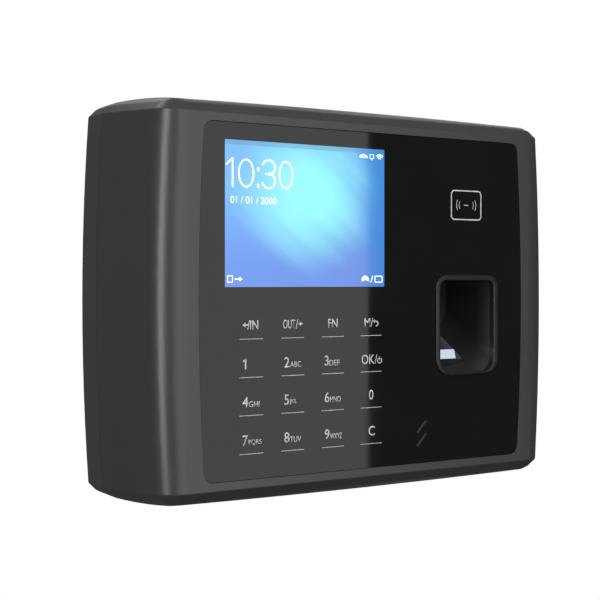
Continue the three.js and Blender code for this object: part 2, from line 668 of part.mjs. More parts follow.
const charcoal = finish(0x35363a, 0.5);
const charcoalRear = finish(0x3a3b3e, 0.55);
const glossBlack = finish(0x0b0b0c, 0.08);
const frameGrey = finish(0x4a4a4c, 0.45);
const foam = finish(0x1c1c1d, 0.95);
const screenGlass = finish(0x6fb6f0, 0.25);
const steel = finish(0xb4b7ba, 0.35, 0.9);
const platedSteel = finish(0xc8c9cc, 0.28, 1);
const boardGreen = finish(0x17472f, 0.5);
const boardBlack = finish(0x17191b, 0.5);
const opticalGlass = finish(0x59616b, 0.05);
const blackPlastic = finish(0x151516, 0.6);
const ribbonAmber = finish(0xb8791f, 0.45);
const ribbonWhite = finish(0xdfe0e0, 0.5);
const copper = finish(0xb87245, 0.35, 0.9);
const terminalGreen = finish(0x2f7d4a, 0.5);
const rubber = finish(0x1d1d1e, 0.85);
const resetRed = finish(0x9b2b22, 0.5);
const relayBlue = finish(0x1f4f9a, 0.45);
const lightWhite = finish(0xe8f2ff, 0.4);

// ---------- assembly ----------

function addPiece(parent, name, geometry, material, x = 0, y = 0, z = 0) {
  const mesh = new THREE.Mesh(geometry, material);
  mesh.name = name;
  mesh.position.set(x, y, z);
  parent.add(mesh);
  return mesh;
}

const group = new THREE.Group();
const terminal = new THREE.Group();
group.add(terminal);

addPiece(group, 'wall_plate', wallPlate(), steel);

addPiece(terminal, 'front_housing', frontHousing(), charcoal);
addPiece(terminal, 'rear_cover', rearCover(), charcoalRear);
addPiece(terminal, 'front_panel', frontPanel(), glossBlack);
addPiece(terminal, 'panel_gasket', panelGasket(), foam);
addPiece(terminal, 'finger_frame', fingerFrame(), frameGrey);
addPiece(terminal, 'finger_guide', fingerGuide(), glossBlack);

const screenSize = [SCREEN.x0, SCREEN.x1];
addPiece(terminal, 'screen_cell', block(...screenSize, -61.3, -59.3, SCREEN.z0, SCREEN.z1), screenGlass);
addPiece(terminal, 'screen_backlight', block(...screenSize, -59.2, -57, SCREEN.z0, SCREEN.z1), platedSteel);
addPiece(terminal, 'screen_bracket', screenBracket(), steel);
const lcdRoute = [[-57.9, -3.4], [-57.4, -6], [-54, -8], [-45, -8.4], [-34, -8], [-29.5, -6], [-27.8, -1.4]];
addPiece(terminal, 'screen_ribbon', ribbon(lcdRoute, -44, -16), ribbonAmber);
addPiece(terminal, 'screen_connector', block(-46, -14, -29, BOARD_FRONT - 0.2, -1, 3), ribbonWhite);

addPiece(terminal, 'key_board', block(KEYS.x0, KEYS.x1, -61.3, -60.1, KEYS.z0, KEYS.z1), boardBlack);
const keyRoute = [[-59.6, -12], [-56, -14.5], [-46, -15.5], [-34, -15], [-29.5, -13.5], [-27.8, -9.2]];
addPiece(terminal, 'key_ribbon', ribbon(keyRoute, -5, 5), ribbonAmber);
addPiece(terminal, 'key_connector', block(-7, 7, -29, BOARD_FRONT - 0.2, -8.8, -5), ribbonWhite);

addPiece(terminal, 'card_antenna_board', block(22, 70, -58.4, -57.2, 17, 59), boardGreen);
addPiece(terminal, 'card_antenna_coil', antennaCoil(), copper, 46, -57, 38);

addPiece(terminal, 'speaker_gasket', ring(8.8, 7.2, 0, 0.9), foam, SPEAKER.x, -58.5, SPEAKER.z);
addPiece(terminal, 'speaker', speaker(), blackPlastic, SPEAKER.x, -57.5, SPEAKER.z);

const sensor = new THREE.Group();
sensor.position.copy(WINDOW);
sensor.rotation.x = TILT;
terminal.add(sensor);
addPiece(sensor, 'sensor_prism', sensorPrism(), opticalGlass);
addPiece(sensor, 'sensor_case', sensorCase(), blackPlastic);
addPiece(sensor, 'sensor_light_bar', block(-8, 8, -11.3, -10.3, -10.4, -5.4), lightWhite);
addPiece(sensor, 'sensor_board', block(-10.1, 10.1, -11.3, 10.1, -17.3, -16.2), boardGreen);
addPiece(sensor, 'sensor_camera', sensorCamera(), blackPlastic, 0, -2, -15.9);
const sensorRoute = [[-24.3, -27.4], [-23.6, -25], [-23.5, -22], [-23.6, -19.4]];
addPiece(terminal, 'sensor_ribbon', ribbon(sensorRoute, 41, 51), ribbonAmber);
addPiece(terminal, 'sensor_connector', block(39, 53, PARTS_BACK, -22.6, -19, -15), ribbonWhite);

addPiece(terminal, 'main_board', mainBoard(), boardGreen);
addPiece(terminal, 'processor_shield', block(-62, -34, -29.8, BOARD_FRONT - 0.2, 14, 42), platedSteel);
addPiece(terminal, 'wireless_module', block(44, 62, -29.2, BOARD_FRONT - 0.2, 26, 46), platedSteel);
addPiece(terminal, 'relay', block(8, 27, PARTS_BACK, -9.6, -2, 13), relayBlue);
addPiece(terminal, 'coin_cell_holder', coinCellHolder(), blackPlastic, -12, PARTS_BACK, 34);
addPiece(terminal, 'coin_cell', rod(10, 1.1, 4.3, 0, 0, 28), platedSteel, -12, PARTS_BACK, 34);
addPiece(terminal, 'capacitor', capacitor(), blackPlastic, -24, PARTS_BACK, 4);
addPiece(terminal, 'inductor', slab(roundedRect({ x0: -6, x1: 6, z0: -6, z1: 6, radius: 2 }), 0, 6, 3),
  blackPlastic, -8, PARTS_BACK, 6);

addPiece(terminal, 'network_jack', networkJack(), platedSteel);
addPiece(terminal, 'power_jack', powerJack(), blackPlastic);
addPiece(terminal, 'terminal_block', terminalBlock(), terminalGreen);
addPiece(terminal, 'usb_port', usbPort(), platedSteel);
addPiece(terminal, 'usb_cover', usbCover(), rubber);
addPiece(terminal, 'reset_switch', resetSwitch(), blackPlastic);
addPiece(terminal, 'reset_button', resetButton(), resetRed);
addPiece(terminal, 'tamper_switch', tamperSwitch(), blackPlastic);
addPiece(terminal, 'tamper_plunger', tamperPlunger(), frameGrey);

HOUSING_SCREWS.forEach(([x, z], i) => {
  addPiece(terminal, `housing_screw_${i + 1}`, crossScrew(2.8, 1.9, 1.35, 20), steel, x, -3.8, z);
});
BOARD_SCREWS.forEach(([x, z], i) => {
  const mesh = addPiece(terminal, `board_screw_${i + 1}`, plainScrew(2.2, 1.4, 1, 9), steel, x, BOARD_FRONT - 0.2, z);
  mesh.rotation.x = Math.PI;
});
BRACKET_SCREWS.forEach(([x, z], i) => {
  addPiece(terminal, `bracket_screw_${i + 1}`, plainScrew(1.9, 1.2, 1, 4), steel, x, -55.6, z);
});
GUIDE_SCREWS.forEach(([x, z], i) => {
  addPiece(terminal, `guide_screw_${i + 1}`, plainScrew(2.2, 1.4, 1, 8), steel, x, -47.6, z);
});
const securityScrew = addPiece(terminal, 'security_screw', crossScrew(2.8, 1.6, 1.4, 13.4), steel, 0, SECURITY_Y, SECURITY_SEAT);
securityScrew.rotation.x = -Math.PI / 2;

export default group;
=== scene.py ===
"""Looks of the wall-mounted fingerprint terminal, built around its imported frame.

Lengths are millimetres until a mesh is made. +X is right as seen from the front, -Y is the
front and +Z is up, as in the frame.
"""
import json
import math

import bmesh
import bpy
from mathutils import Matrix, Vector

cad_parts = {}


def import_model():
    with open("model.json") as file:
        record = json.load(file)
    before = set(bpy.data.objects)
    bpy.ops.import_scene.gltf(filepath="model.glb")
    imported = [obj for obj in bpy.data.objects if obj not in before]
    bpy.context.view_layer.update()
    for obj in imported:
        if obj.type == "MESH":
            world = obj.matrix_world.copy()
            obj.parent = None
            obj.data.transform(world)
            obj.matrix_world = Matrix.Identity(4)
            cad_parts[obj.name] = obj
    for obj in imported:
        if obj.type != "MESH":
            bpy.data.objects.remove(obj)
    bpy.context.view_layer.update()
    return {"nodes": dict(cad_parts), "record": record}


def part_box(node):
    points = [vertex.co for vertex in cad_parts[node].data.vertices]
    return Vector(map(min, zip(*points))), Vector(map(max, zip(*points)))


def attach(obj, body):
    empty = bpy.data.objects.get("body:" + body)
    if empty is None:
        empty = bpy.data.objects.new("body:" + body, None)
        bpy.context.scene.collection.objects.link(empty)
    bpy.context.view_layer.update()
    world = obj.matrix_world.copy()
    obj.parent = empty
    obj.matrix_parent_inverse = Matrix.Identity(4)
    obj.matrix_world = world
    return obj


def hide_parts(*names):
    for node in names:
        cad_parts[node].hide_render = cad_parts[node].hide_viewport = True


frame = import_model()

MM = 0.001
BODY = "terminal"

# Case form, as in the design.
FRONT = -63.5
SPLIT = -15.5
BACK_RIM = -0.6
SEAM = 0.3
WALL = 2.8
LIP = 1.6
LIP_REACH = 3
BEYOND_BACK = 12  # forms run on past the wall plane and are trimmed to length
FACE_HALF_WIDTH = 90
WAIST_HALF_WIDTH = 94.3
BACK_HALF_WIDTH = 94.1
EDGE_RADIUS = 10
SIDE_HALF_HEIGHT = 67.7
BEVEL = 6
DRAFT = 0.07
CROWN_HALF_HEIGHT = 76.3
CROWN_CREST = -13.5
CROWN_RADIUS = 292
CROWN_BOW_RADIUS = 5000
BOW_RADIUS = 1000
FLARE = (WAIST_HALF_WIDTH - FACE_HALF_WIDTH) / (SPLIT - FRONT)
LOWER_ROUND = 0.35  # between the sides and the bevel
FACET = 2.85  # width of the flat bevel before it rolls over into the crown
ROLL = 1.4  # how far the roll-over runs past the corner it replaces
CREASE = 0.8  # how sharply it breaks from the bevel, 0 for a smooth start
CREASE_ANGLE = 12  # degrees; the shell is shaded smooth across anything flatter
FLAP_TOP = -73.9
PORT_TOP = -70
SECURITY_SEAT = -74.3

# Front panel.
PANEL_HALF_WIDTH = 75.25
PANEL_HALF_HEIGHT = 64.5
PANEL_RADIUS = 3.75
PANEL_BOW_RADIUS = 900
PANEL_GAP = 0.07
PANEL_FRONT = -63.25
PANEL_BACK = -61.45
POCKET_FLOOR = -60.8
MOUTH_ROUND = 0.1
FRONT_WALL_BACK = -58.6
PRINT = PANEL_FRONT - 0.02

# Finger recess.
TILT = math.radians(32)
TROUGH_RADIUS = 15
WELL_WALL = 1.8
WELL_BACK = -32.5
WINDOW = Vector((46.35, -43.12, -20.3))
WINDOW_HALF_WIDTH = 8
WINDOW_HALF_LENGTH = 10
PATCH_LOW = -8.5  # ends of the lit patch, along the slope from the middle of the window
PATCH_HIGH = -2.0
SPEAKER = (23.4, -52.8)
SLIT_HEIGHTS = (-50.2, -55.4)

# Back of the case.
BAY_LOW = Vector((-48, -28, -58))
BAY_HIGH = Vector((30, 5, -26))
LIFT = 6  # how far the terminal slides up to come off the hooks
HOOKS = [(x, z) for x in (-56, 56) for z in (44, -8)]
BOARD_POSTS = [(x, z) for x in (-70, 70) for z in (52, -14)]
CASE_SCREWS = [(x, z) for x in (-80, 80) for z in (58, -58)]
SECURITY_Y = -8

# Picture on the screen.
PICTURE = {"x0": -64.8, "x1": 5.2, "z0": 5.2, "z1": 58.2}


def box(node):
    """Lowest and highest corner of a frame node, in millimetres."""
    low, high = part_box(node)
    return low / MM, high / MM


# ---------- mesh helpers ----------

def new_object(name, mesh):
    piece = bpy.data.objects.new(name, mesh)
    bpy.context.scene.collection.objects.link(piece)
    return piece


def from_bmesh(name, bm):
    bmesh.ops.recalc_face_normals(bm, faces=bm.faces)
    mesh = bpy.data.meshes.new(name)
    bm.to_mesh(mesh)
    bm.free()
    return new_object(name, mesh)


def loft(name, loops):
    """A closed solid through loops with the same number of points."""
    bm = bmesh.new()
    rows = [[bm.verts.new(Vector(point) * MM) for point in loop] for loop in loops]
    count = len(rows[0])
    for lower, upper in zip(rows, rows[1:]):
        for i in range(count):
            j = (i + 1) % count
            bm.faces.new((lower[i], lower[j], upper[j], upper[i]))
    bm.faces.new(rows[0])
    bm.faces.new(rows[-1])
    return from_bmesh(name, bm)


def ring_loft(name, loops):
    """A closed ring whose section runs through the loops and back to the first."""
    bm = bmesh.new()
    rows = [[bm.verts.new(Vector(point) * MM) for point in loop] for loop in loops]
    count = len(rows[0])
    for lower, upper in zip(rows, rows[1:] + rows[:1]):
        for i in range(count):
            j = (i + 1) % count
            bm.faces.new((lower[i], lower[j], upper[j], upper[i]))
    return from_bmesh(name, bm)


def level(outline, y):
    """A loop in the plane at y from an outline of (x, z) points."""
    return [(x, y, z) for x, z in outline]


def slab(outline, y0, y1):
    return loft("slab", [level(outline, y0), level(outline, y1)])


def block(x0, x1, y0, y1, z0, z1):
    return slab([(x0, z0), (x1, z0), (x1, z1), (x0, z1)], y0, y1)


def circle(radius, x=0.0, z=0.0, steps=40):
    return [
        (x + radius * math.cos(math.tau * i / steps), z + radius * math.sin(math.tau * i / steps))
        for i in range(steps)
    ]


def rod(radius, y0, y1, x=0.0, z=0.0, steps=40):
    """A round rod along Y."""
    return slab(circle(radius, x, z, steps), y0, y1)


def post(radius, z0, z1, x=0.0, y=0.0, steps=40):
    """A round rod along Z."""
    return loft("post", [[(px, py, z) for px, py in circle(radius, x, y, steps)] for z in (z0, z1)])


def rounded_rect(x0, x1, z0, z1, radius, grow=0.0, steps=10, lower=None):
    """Outline of a rectangle with round corners, grown outward.

    The two lower corners may have a radius of their own."""
    lower = lower or radius
    corners = [(x1, z0, -90, lower), (x1, z1, 0, radius), (x0, z1, 90, radius), (x0, z0, 180, lower)]
    outline = []
    for x, z, start, turn in corners:
        cx = x - turn if x == x1 else x + turn
        cz = z - turn if z == z1 else z + turn
        for i in range(steps + 1):
            angle = math.radians(start + 90 * i / steps)
            outline.append((
                cx + (turn + grow) * math.cos(angle),
                cz + (turn + grow) * math.sin(angle),
            ))
    return outline


def quarter_round(radius, steps=5):
    """(inset, setback) pairs round a quarter circle, from the face to the side."""
    return [
        (radius * (1 - math.sin(math.pi / 2 * i / steps)), radius * (1 - math.cos(math.pi / 2 * i / steps)))
        for i in range(steps + 1)
    ]


def rounded_slab(name, outline_at, y_front, y_back, edge):
    """A plate whose front edge is rounded; outline_at gives the outline for a growth."""
    loops = [level(outline_at(-inset), y_front + setback) for inset, setback in quarter_round(edge)]
    return loft(name, loops + [level(outline_at(0), y_back)])


def bake(piece):
    """Applies the piece's modifiers to its mesh."""
    graph = bpy.context.evaluated_depsgraph_get()
    mesh = bpy.data.meshes.new_from_object(piece.evaluated_get(graph))
    piece.modifiers.clear()
    piece.data = mesh
    return piece


def combine(base, operation, *tools):
    for tool in tools:
        modifier = base.modifiers.new("combine", "BOOLEAN")
        modifier.operation = operation
        modifier.solver = "MANIFOLD"
        modifier.object = tool
        bake(base)
        bpy.data.objects.remove(tool)
    return base


def cut(base, *tools):
    return combine(base, "DIFFERENCE", *tools)


def add(base, *tools):
    return combine(base, "UNION", *tools)


def bevel(piece, width, chosen=None, steps=2, angle=30):
    """Rounds the edges sharper than an angle, or only those that chosen(a, b, edge) picks."""
    bm = bmesh.new()
    bm.from_mesh(piece.data)
    bmesh.ops.dissolve_limit(bm, angle_limit=math.radians(0.5), verts=bm.verts, edges=bm.edges)
    edges = []
    for edge in bm.edges:
        if len(edge.link_faces) != 2 or edge.calc_face_angle(0) < math.radians(angle):
            continue
        a, b = (vert.co / MM for vert in edge.verts)
        if chosen is None or chosen(a, b, edge):
            edges.append(edge)
    bmesh.ops.bevel(bm, geom=edges, offset=width * MM, segments=steps, profile=0.5,
                    affect="EDGES", clamp_overlap=True)
    bm.to_mesh(piece.data)
    bm.free()
    return piece


def smooth(piece, angle=35):
    """Smooth shading with flat faces kept flat and edges sharper than the angle kept sharp."""
    piece.data.shade_smooth()
    piece.data.set_sharp_from_angle(angle=math.radians(angle))
    normals = piece.modifiers.new("normals", "WEIGHTED_NORMAL")
    normals.keep_sharp = True
    return piece


def finish_piece(piece, name, slot, nodes=(), body=BODY, angle=35):
    """Names a piece, shades it, parents it to its body, gives it its slot's material and hides the nodes it
    stands for.
    """
    piece.name = name
    piece.data.name = name
    smooth(piece, angle)
    piece.data.materials.clear()
    piece.data.materials.append(MATERIALS[slot])
    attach(piece, body)
    if nodes:
        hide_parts(*nodes)
    return piece


# ---------- material helpers ----------

def linear(red, green, blue):
    """A linear colour from 0 to 255 screen values."""
    return tuple((c / 255 / 12.92 if c <= 10 else ((c / 255 + 0.055) / 1.055) ** 2.4)
                 for c in (red, green, blue)) + (1.0,)


class Nodes:
    """Short calls that add and link the nodes of one material."""

    def __init__(self, name):
        self.material = bpy.data.materials.new(name)
        self.material.use_nodes = True
        self.tree = self.material.node_tree
        self.shader = self.tree.nodes["Principled BSDF"]
        self.position = self.add("ShaderNodeTexCoord").outputs["Object"]

    def add(self, kind, inputs=None, **settings):
        node = self.tree.nodes.new(kind)
        for key, value in settings.items():
            setattr(node, key, value)
        for key, value in (inputs or {}).items():
            self.put(node, key, value)
        return node

    def put(self, node, key, value):
        if isinstance(value, bpy.types.NodeSocket):
            self.tree.links.new(value, node.inputs[key])
        else:
            node.inputs[key].default_value = value

    def math(self, operation, *values):
        node = self.add("ShaderNodeMath", operation=operation)
        for i, value in enumerate(values):
            self.put(node, i, value)
        return node.outputs[0]

    def noise(self, size, detail=3.0, vector=None):
        """Noise whose grains are about size millimetres."""
        node = self.add("ShaderNodeTexNoise", {
            "Vector": vector or self.position,
            "Scale": 1 / (size * MM),
            "Detail": detail,
        })
        return node.outputs["Fac"]

    def ramp(self, value, low, high, out_low=0.0, out_high=1.0, smooth=False):
        node = self.add("ShaderNodeMapRange", {
            "Value": value,
            "From Min": low,
            "From Max": high,
            "To Min": out_low,
            "To Max": out_high,
        }, clamp=True, interpolation_type="SMOOTHSTEP" if smooth else "LINEAR")
        return node.outputs["Result"]

    def mix(self, share, a, b):
        node = self.add("ShaderNodeMix", data_type="RGBA")
        for index, value in ((0, share), (6, a), (7, b)):
            self.put(node, index, value)
        return node.outputs[2]

    def split(self, vector=None):
        return self.add("ShaderNodeSeparateXYZ", {"Vector": vector or self.position}).outputs

    def bump(self, height, depth):
        """Bump from a 0 to 1 height, depth millimetres deep."""
        node = self.add("ShaderNodeBump", {"Height": height, "Strength": 1.0, "Distance": depth * MM})
        return node.outputs["Normal"]

    def shade(self, **inputs):
        for key, value in inputs.items():
            self.put(self.shader, key.replace("_", " "), value)
        return self.material


def surface(name, colour, roughness, metallic=0.0, mottle=0.1, patch=14.0, grain=0.35, depth=0.006,
            spread=0.05, **extra):
    """A material with patchy colour, a fine surface grain and uneven roughness."""
    n = Nodes(name)
    dark = tuple(c * (1 - mottle) for c in colour[:3]) + (1.0,)
    light = tuple(min(c * (1 + mottle), 1.0) for c in colour[:3]) + (1.0,)
    patches = n.noise(patch, 4)
    grains = n.noise(grain, 2)
    tone = n.ramp(n.math("MULTIPLY_ADD", grains, 0.35, patches), 0.45, 0.9)
    return n.shade(
        Base_Color=n.mix(tone, dark, light),
        Roughness=n.ramp(patches, 0.3, 0.7, roughness - spread, roughness + spread),
        Metallic=metallic,
        Normal=n.bump(grains, depth),
        **extra,
    )


def galvanised(name):
    """Zinc-coated sheet with its spangle of crystal facets."""
    n = Nodes(name)
    spangle = n.add("ShaderNodeTexVoronoi", {"Vector": n.position, "Scale": 1 / (3 * MM)})
    tone = n.add("ShaderNodeSeparateColor", {"Color": spangle.outputs["Color"]}).outputs[0]
    scratch = n.noise(0.5, 4)
    return n.shade(
        Base_Color=n.mix(tone, (0.50, 0.51, 0.52, 1), (0.60, 0.61, 0.62, 1)),
        Roughness=n.ramp(tone, 0, 1, 0.36, 0.44),
        Metallic=0.95,
        Normal=n.bump(n.math("MULTIPLY_ADD", tone, 0.3, scratch), 0.006),
    )


def drawn_metal(name, colour, roughness):
    """Rolled or turned metal with fine parallel scratches along X."""
    n = Nodes(name)
    stretched = n.add("ShaderNodeMapping", {"Vector": n.position, "Scale": (0.04, 1.0, 1.0)})
    lines = n.noise(0.12, 3, stretched.outputs["Vector"])
    patches = n.noise(9, 3)
    dark = tuple(c * 0.88 for c in colour[:3]) + (1.0,)
    return n.shade(
        Base_Color=n.mix(patches, dark, colour),
        Roughness=n.ramp(lines, 0.3, 0.7, roughness - 0.06, roughness + 0.1),
        Metallic=1.0,
        Normal=n.bump(lines, 0.004),
    )


def cellular(name, colour):
    """Closed-cell foam."""
    n = Nodes(name)
    cells = n.add("ShaderNodeTexVoronoi", {"Vector": n.position, "Scale": 1 / (0.5 * MM)})
    distance = cells.outputs["Distance"]
    dark = tuple(c * 0.5 for c in colour[:3]) + (1.0,)
    return n.shade(
        Base_Color=n.mix(n.ramp(distance, 0.1, 0.6), dark, colour),
        Roughness=n.ramp(distance, 0, 0.7, 0.98, 0.86),
        Normal=n.bump(distance, 0.12),
    )


def striped(name, colour, line, pitch, axis):
    """A flexible ribbon with its printed tracks side by side."""
    n = Nodes(name)
    along = n.split()[axis]
    phase = n.math("FRACT", n.math("DIVIDE", along, pitch * MM))
    track = n.ramp(n.math("ABSOLUTE", n.math("SUBTRACT", phase, 0.5)), 0.2, 0.28, smooth=True)
    patches = n.noise(6, 3)
    return n.shade(
        Base_Color=n.mix(track, colour, line),
        Roughness=n.ramp(patches, 0.3, 0.7, 0.34, 0.46),
        Normal=n.bump(track, 0.02),
    )


def circuit(name, mask, track, seed):
    """Solder mask over a pattern of square-cornered tracks and plated holes."""
    n = Nodes(name)
    x, _, z = n.split()
    moved = n.add("ShaderNodeCombineXYZ", {"X": x, "Y": z, "Z": float(seed)}).outputs[0]
    bricks = n.add("ShaderNodeTexBrick", {
        "Vector": moved,
        "Scale": 1 / (1 * MM),
        "Mortar Size": 0.14,
        "Brick Width": 9.0,
        "Row Height": 1.4,
    })
    cells = n.add("ShaderNodeTexVoronoi", {"Vector": moved, "Scale": 1 / (5.5 * MM)},
                  voronoi_dimensions="2D")
    hole = n.ramp(cells.outputs["Distance"], 0.05, 0.07)
    ring = n.ramp(cells.outputs["Distance"], 0.11, 0.13)
    covered = n.mix(bricks.outputs["Fac"], mask, track)
    plated = n.mix(ring, (0.62, 0.6, 0.52, 1), covered)
    return n.shade(
        Base_Color=n.mix(hole, (0.01, 0.01, 0.01, 1), plated),
        Roughness=n.ramp(n.noise(4, 3), 0.3, 0.7, 0.3, 0.45),
        Normal=n.bump(bricks.outputs["Fac"], 0.035),
    )


def picture_share(n, axis, low, high):
    """0 to 1 across the picture along an axis."""
    return n.ramp(n.split()[axis], low * MM, high * MM)


def lit_screen(name):
    """A sky-blue standby picture under glass, with a soft glow and faint slanting rays."""
    n = Nodes(name)
    u = picture_share(n, 0, PICTURE["x0"], PICTURE["x1"])
    v = picture_share(n, 2, PICTURE["z0"], PICTURE["z1"])
    du = n.math("DIVIDE", n.math("SUBTRACT", u, 0.5), 0.52)
    dv = n.math("DIVIDE", n.math("SUBTRACT", v, 0.66), 0.62)
    distance = n.math("SQRT", n.math("ADD", n.math("MULTIPLY", du, du), n.math("MULTIPLY", dv, dv)))
    slant = n.math("ADD", n.math("MULTIPLY", u, 0.75), n.math("MULTIPLY", v, 0.65))
    rays = n.add("ShaderNodeCombineXYZ", {"X": slant, "Y": n.math("MULTIPLY", v, 0.15)}).outputs[0]
    drift = n.add("ShaderNodeTexNoise", {"Vector": rays, "Scale": 5.0, "Detail": 2.0}).outputs["Fac"]
    soft = n.math("ADD", distance, n.math("MULTIPLY", n.math("SUBTRACT", drift, 0.5), 0.5))
    glow = n.ramp(soft, 1.0, 0.15, smooth=True)
    low = n.mix(n.ramp(u, 0.0, 1.0), linear(104, 150, 238), linear(98, 138, 222))
    high = n.mix(n.ramp(u, 0.3, 1.0), linear(118, 186, 250), linear(80, 158, 226))
    sky = n.mix(n.ramp(v, 0.1, 0.75, smooth=True), low, high)
    lit = n.mix(glow, sky, linear(150, 250, 255))
    edge = n.mix(n.ramp(u, 0.80, 1.0, 0.0, 0.85, smooth=True), lit, linear(62, 136, 216))
    bar = n.math("MULTIPLY", n.ramp(v, 0.965, 0.97), n.ramp(u, 1.0, 0.7))
    picture = n.mix(n.math("MULTIPLY", bar, 0.4), edge, linear(70, 130, 160))
    inside = n.math("LESS_THAN", n.split()[1], (PANEL_BACK + 0.1) * MM)
    return n.shade(
        Base_Color=n.mix(n.noise(3, 2), (0.006, 0.007, 0.009, 1), (0.009, 0.010, 0.012, 1)),
        Roughness=n.ramp(n.noise(20, 3), 0.3, 0.7, 0.03, 0.06),
        Emission_Color=n.mix(inside, (0, 0, 0, 1), picture),
        Emission_Strength=1.0,
    )


def lit_platen(name):
    """Dark optical glass with a lit patch near its lower end and a painted grey sheen below it."""
    n = Nodes(name)
    x, y, z = n.split()
    slope = n.math("ADD", n.math("MULTIPLY", y, math.cos(TILT)), n.math("MULTIPLY", z, math.sin(TILT)))
    start = (WINDOW.y * math.cos(TILT) + WINDOW.z * math.sin(TILT)) * MM
    along = n.math("SUBTRACT", slope, start)
    low, high = PATCH_LOW * MM, PATCH_HIGH * MM
    right = n.ramp(along, low, high, 51.0 * MM, 54.6 * MM)
    left = n.ramp(along, low, high, 41.7 * MM, 38.1 * MM)
    across = n.math("MULTIPLY", n.math("LESS_THAN", x, right), n.math("GREATER_THAN", x, left))
    band = n.math("MULTIPLY", n.math("GREATER_THAN", along, low), n.math("LESS_THAN", along, high))
    patch = n.math("MULTIPLY", across, band)
    ripple = n.noise(1.2, 2)
    speckle = n.ramp(n.noise(0.5, 1), 0.42, 0.58)
    light = n.mix(n.math("MULTIPLY", speckle, ripple), linear(205, 212, 222), linear(190, 226, 255))
    # Painted sheen: the glass glows grey round the lit patch, dark at the low end of the slope and lighter
    # to the right, in place of light on the glass.
    above = n.mix(n.ramp(x, 47 * MM, 54 * MM), linear(24, 24, 25), linear(58, 58, 60))
    sheen = n.mix(n.ramp(along, -9.4 * MM, -8.7 * MM), linear(8, 8, 8), above)
    return n.shade(
        Base_Color=n.mix(n.noise(2, 2), (0.020, 0.021, 0.024, 1), (0.028, 0.029, 0.032, 1)),
        Roughness=n.ramp(n.noise(5, 3), 0.3, 0.7, 0.08, 0.16),
        Emission_Color=n.mix(patch, sheen, light),
        Emission_Strength=1.0,
    )


def glowing(name, colour, strength):
    n = Nodes(name)
    return n.shade(
        Base_Color=colour,
        Roughness=n.ramp(n.noise(1, 2), 0.3, 0.7, 0.3, 0.5),
        Emission_Color=n.mix(n.noise(2, 2), tuple(c * 0.94 for c in colour[:3]) + (1.0,), colour),
        Emission_Strength=strength,
    )


def make_materials():
    made = {
        "charcoal_shell": surface("charcoal_shell", (0.040, 0.040, 0.041), 0.37, mottle=0.05,
                                  spread=0.015, Specular_IOR_Level=0.7),
        "charcoal_rear": surface("charcoal_rear", (0.046, 0.046, 0.047), 0.4, mottle=0.05,
                                 spread=0.015, Specular_IOR_Level=0.7),
        "gloss_black_panel": surface("gloss_black_panel", (0.0055, 0.0055, 0.0058), 0.035, mottle=0.15,
                                     patch=30, grain=8, depth=0.0002, spread=0.012),
        "gloss_black_plastic": surface("gloss_black_plastic", (0.034, 0.034, 0.0345), 0.36, mottle=0.1,
                                       grain=0.8, depth=0.001, spread=0.03),
        "frame_grey": surface("frame_grey", (0.012, 0.012, 0.0125), 0.3, mottle=0.06, grain=0.25,
                              depth=0.003),
        "foam": cellular("foam", (0.018, 0.018, 0.019, 1)),
        "screen": lit_screen("screen"),
        "galvanised_steel": galvanised("galvanised_steel"),
        "plated_steel": drawn_metal("plated_steel", (0.62, 0.62, 0.64, 1), 0.26),
        "screw_steel": drawn_metal("screw_steel", (0.5, 0.51, 0.53, 1), 0.3),
        "ribbon_amber": striped("ribbon_amber", (0.42, 0.16, 0.025, 1), (0.55, 0.27, 0.07, 1), 1.0, 0),
        "connector_white": surface("connector_white", (0.68, 0.67, 0.63), 0.45, mottle=0.04, grain=0.2),
        "board_black": circuit("board_black", (0.012, 0.013, 0.014, 1), (0.022, 0.024, 0.026, 1), 3),
        "board_green": circuit("board_green", (0.008, 0.062, 0.03, 1), (0.014, 0.115, 0.055, 1), 7),
        "copper": drawn_metal("copper", (0.72, 0.36, 0.2, 1), 0.3),
        "black_plastic": surface("black_plastic", (0.014, 0.014, 0.014), 0.5, mottle=0.12, grain=0.3),
        "optical_glass": lit_platen("optical_glass"),
        "light_bar": glowing("light_bar", (0.85, 0.93, 1.0, 1), 2.0),
        "relay_blue": surface("relay_blue", (0.015, 0.085, 0.32), 0.3, mottle=0.08, grain=0.6, depth=0.003),
        "terminal_green": surface("terminal_green", (0.03, 0.2, 0.075), 0.42, mottle=0.08, grain=0.3),
        "black_rubber": surface("black_rubber", (0.02, 0.02, 0.02), 0.72, mottle=0.12, grain=0.2,
                                depth=0.012),
        "reset_red": surface("reset_red", (0.35, 0.03, 0.02), 0.42, mottle=0.06, grain=0.2),
        "plunger_grey": surface("plunger_grey", (0.17, 0.17, 0.175), 0.4, mottle=0.06, grain=0.2),
    }
    made["legend_ink"] = surface("legend_ink", (0.62, 0.63, 0.65), 0.5, mottle=0.12, patch=2, grain=0.1,
                                 depth=0.001)
    made["speaker_cloth"] = cellular("speaker_cloth", (0.05, 0.05, 0.052, 1))
    made["screen_white"] = glowing("screen_white", (0.93, 0.97, 1.0, 1), 1.0)
    return made


MATERIALS = make_materials()


# ---------- case ----------

def half_width_at(y):
    return FACE_HALF_WIDTH + FLARE * (y - FRONT)


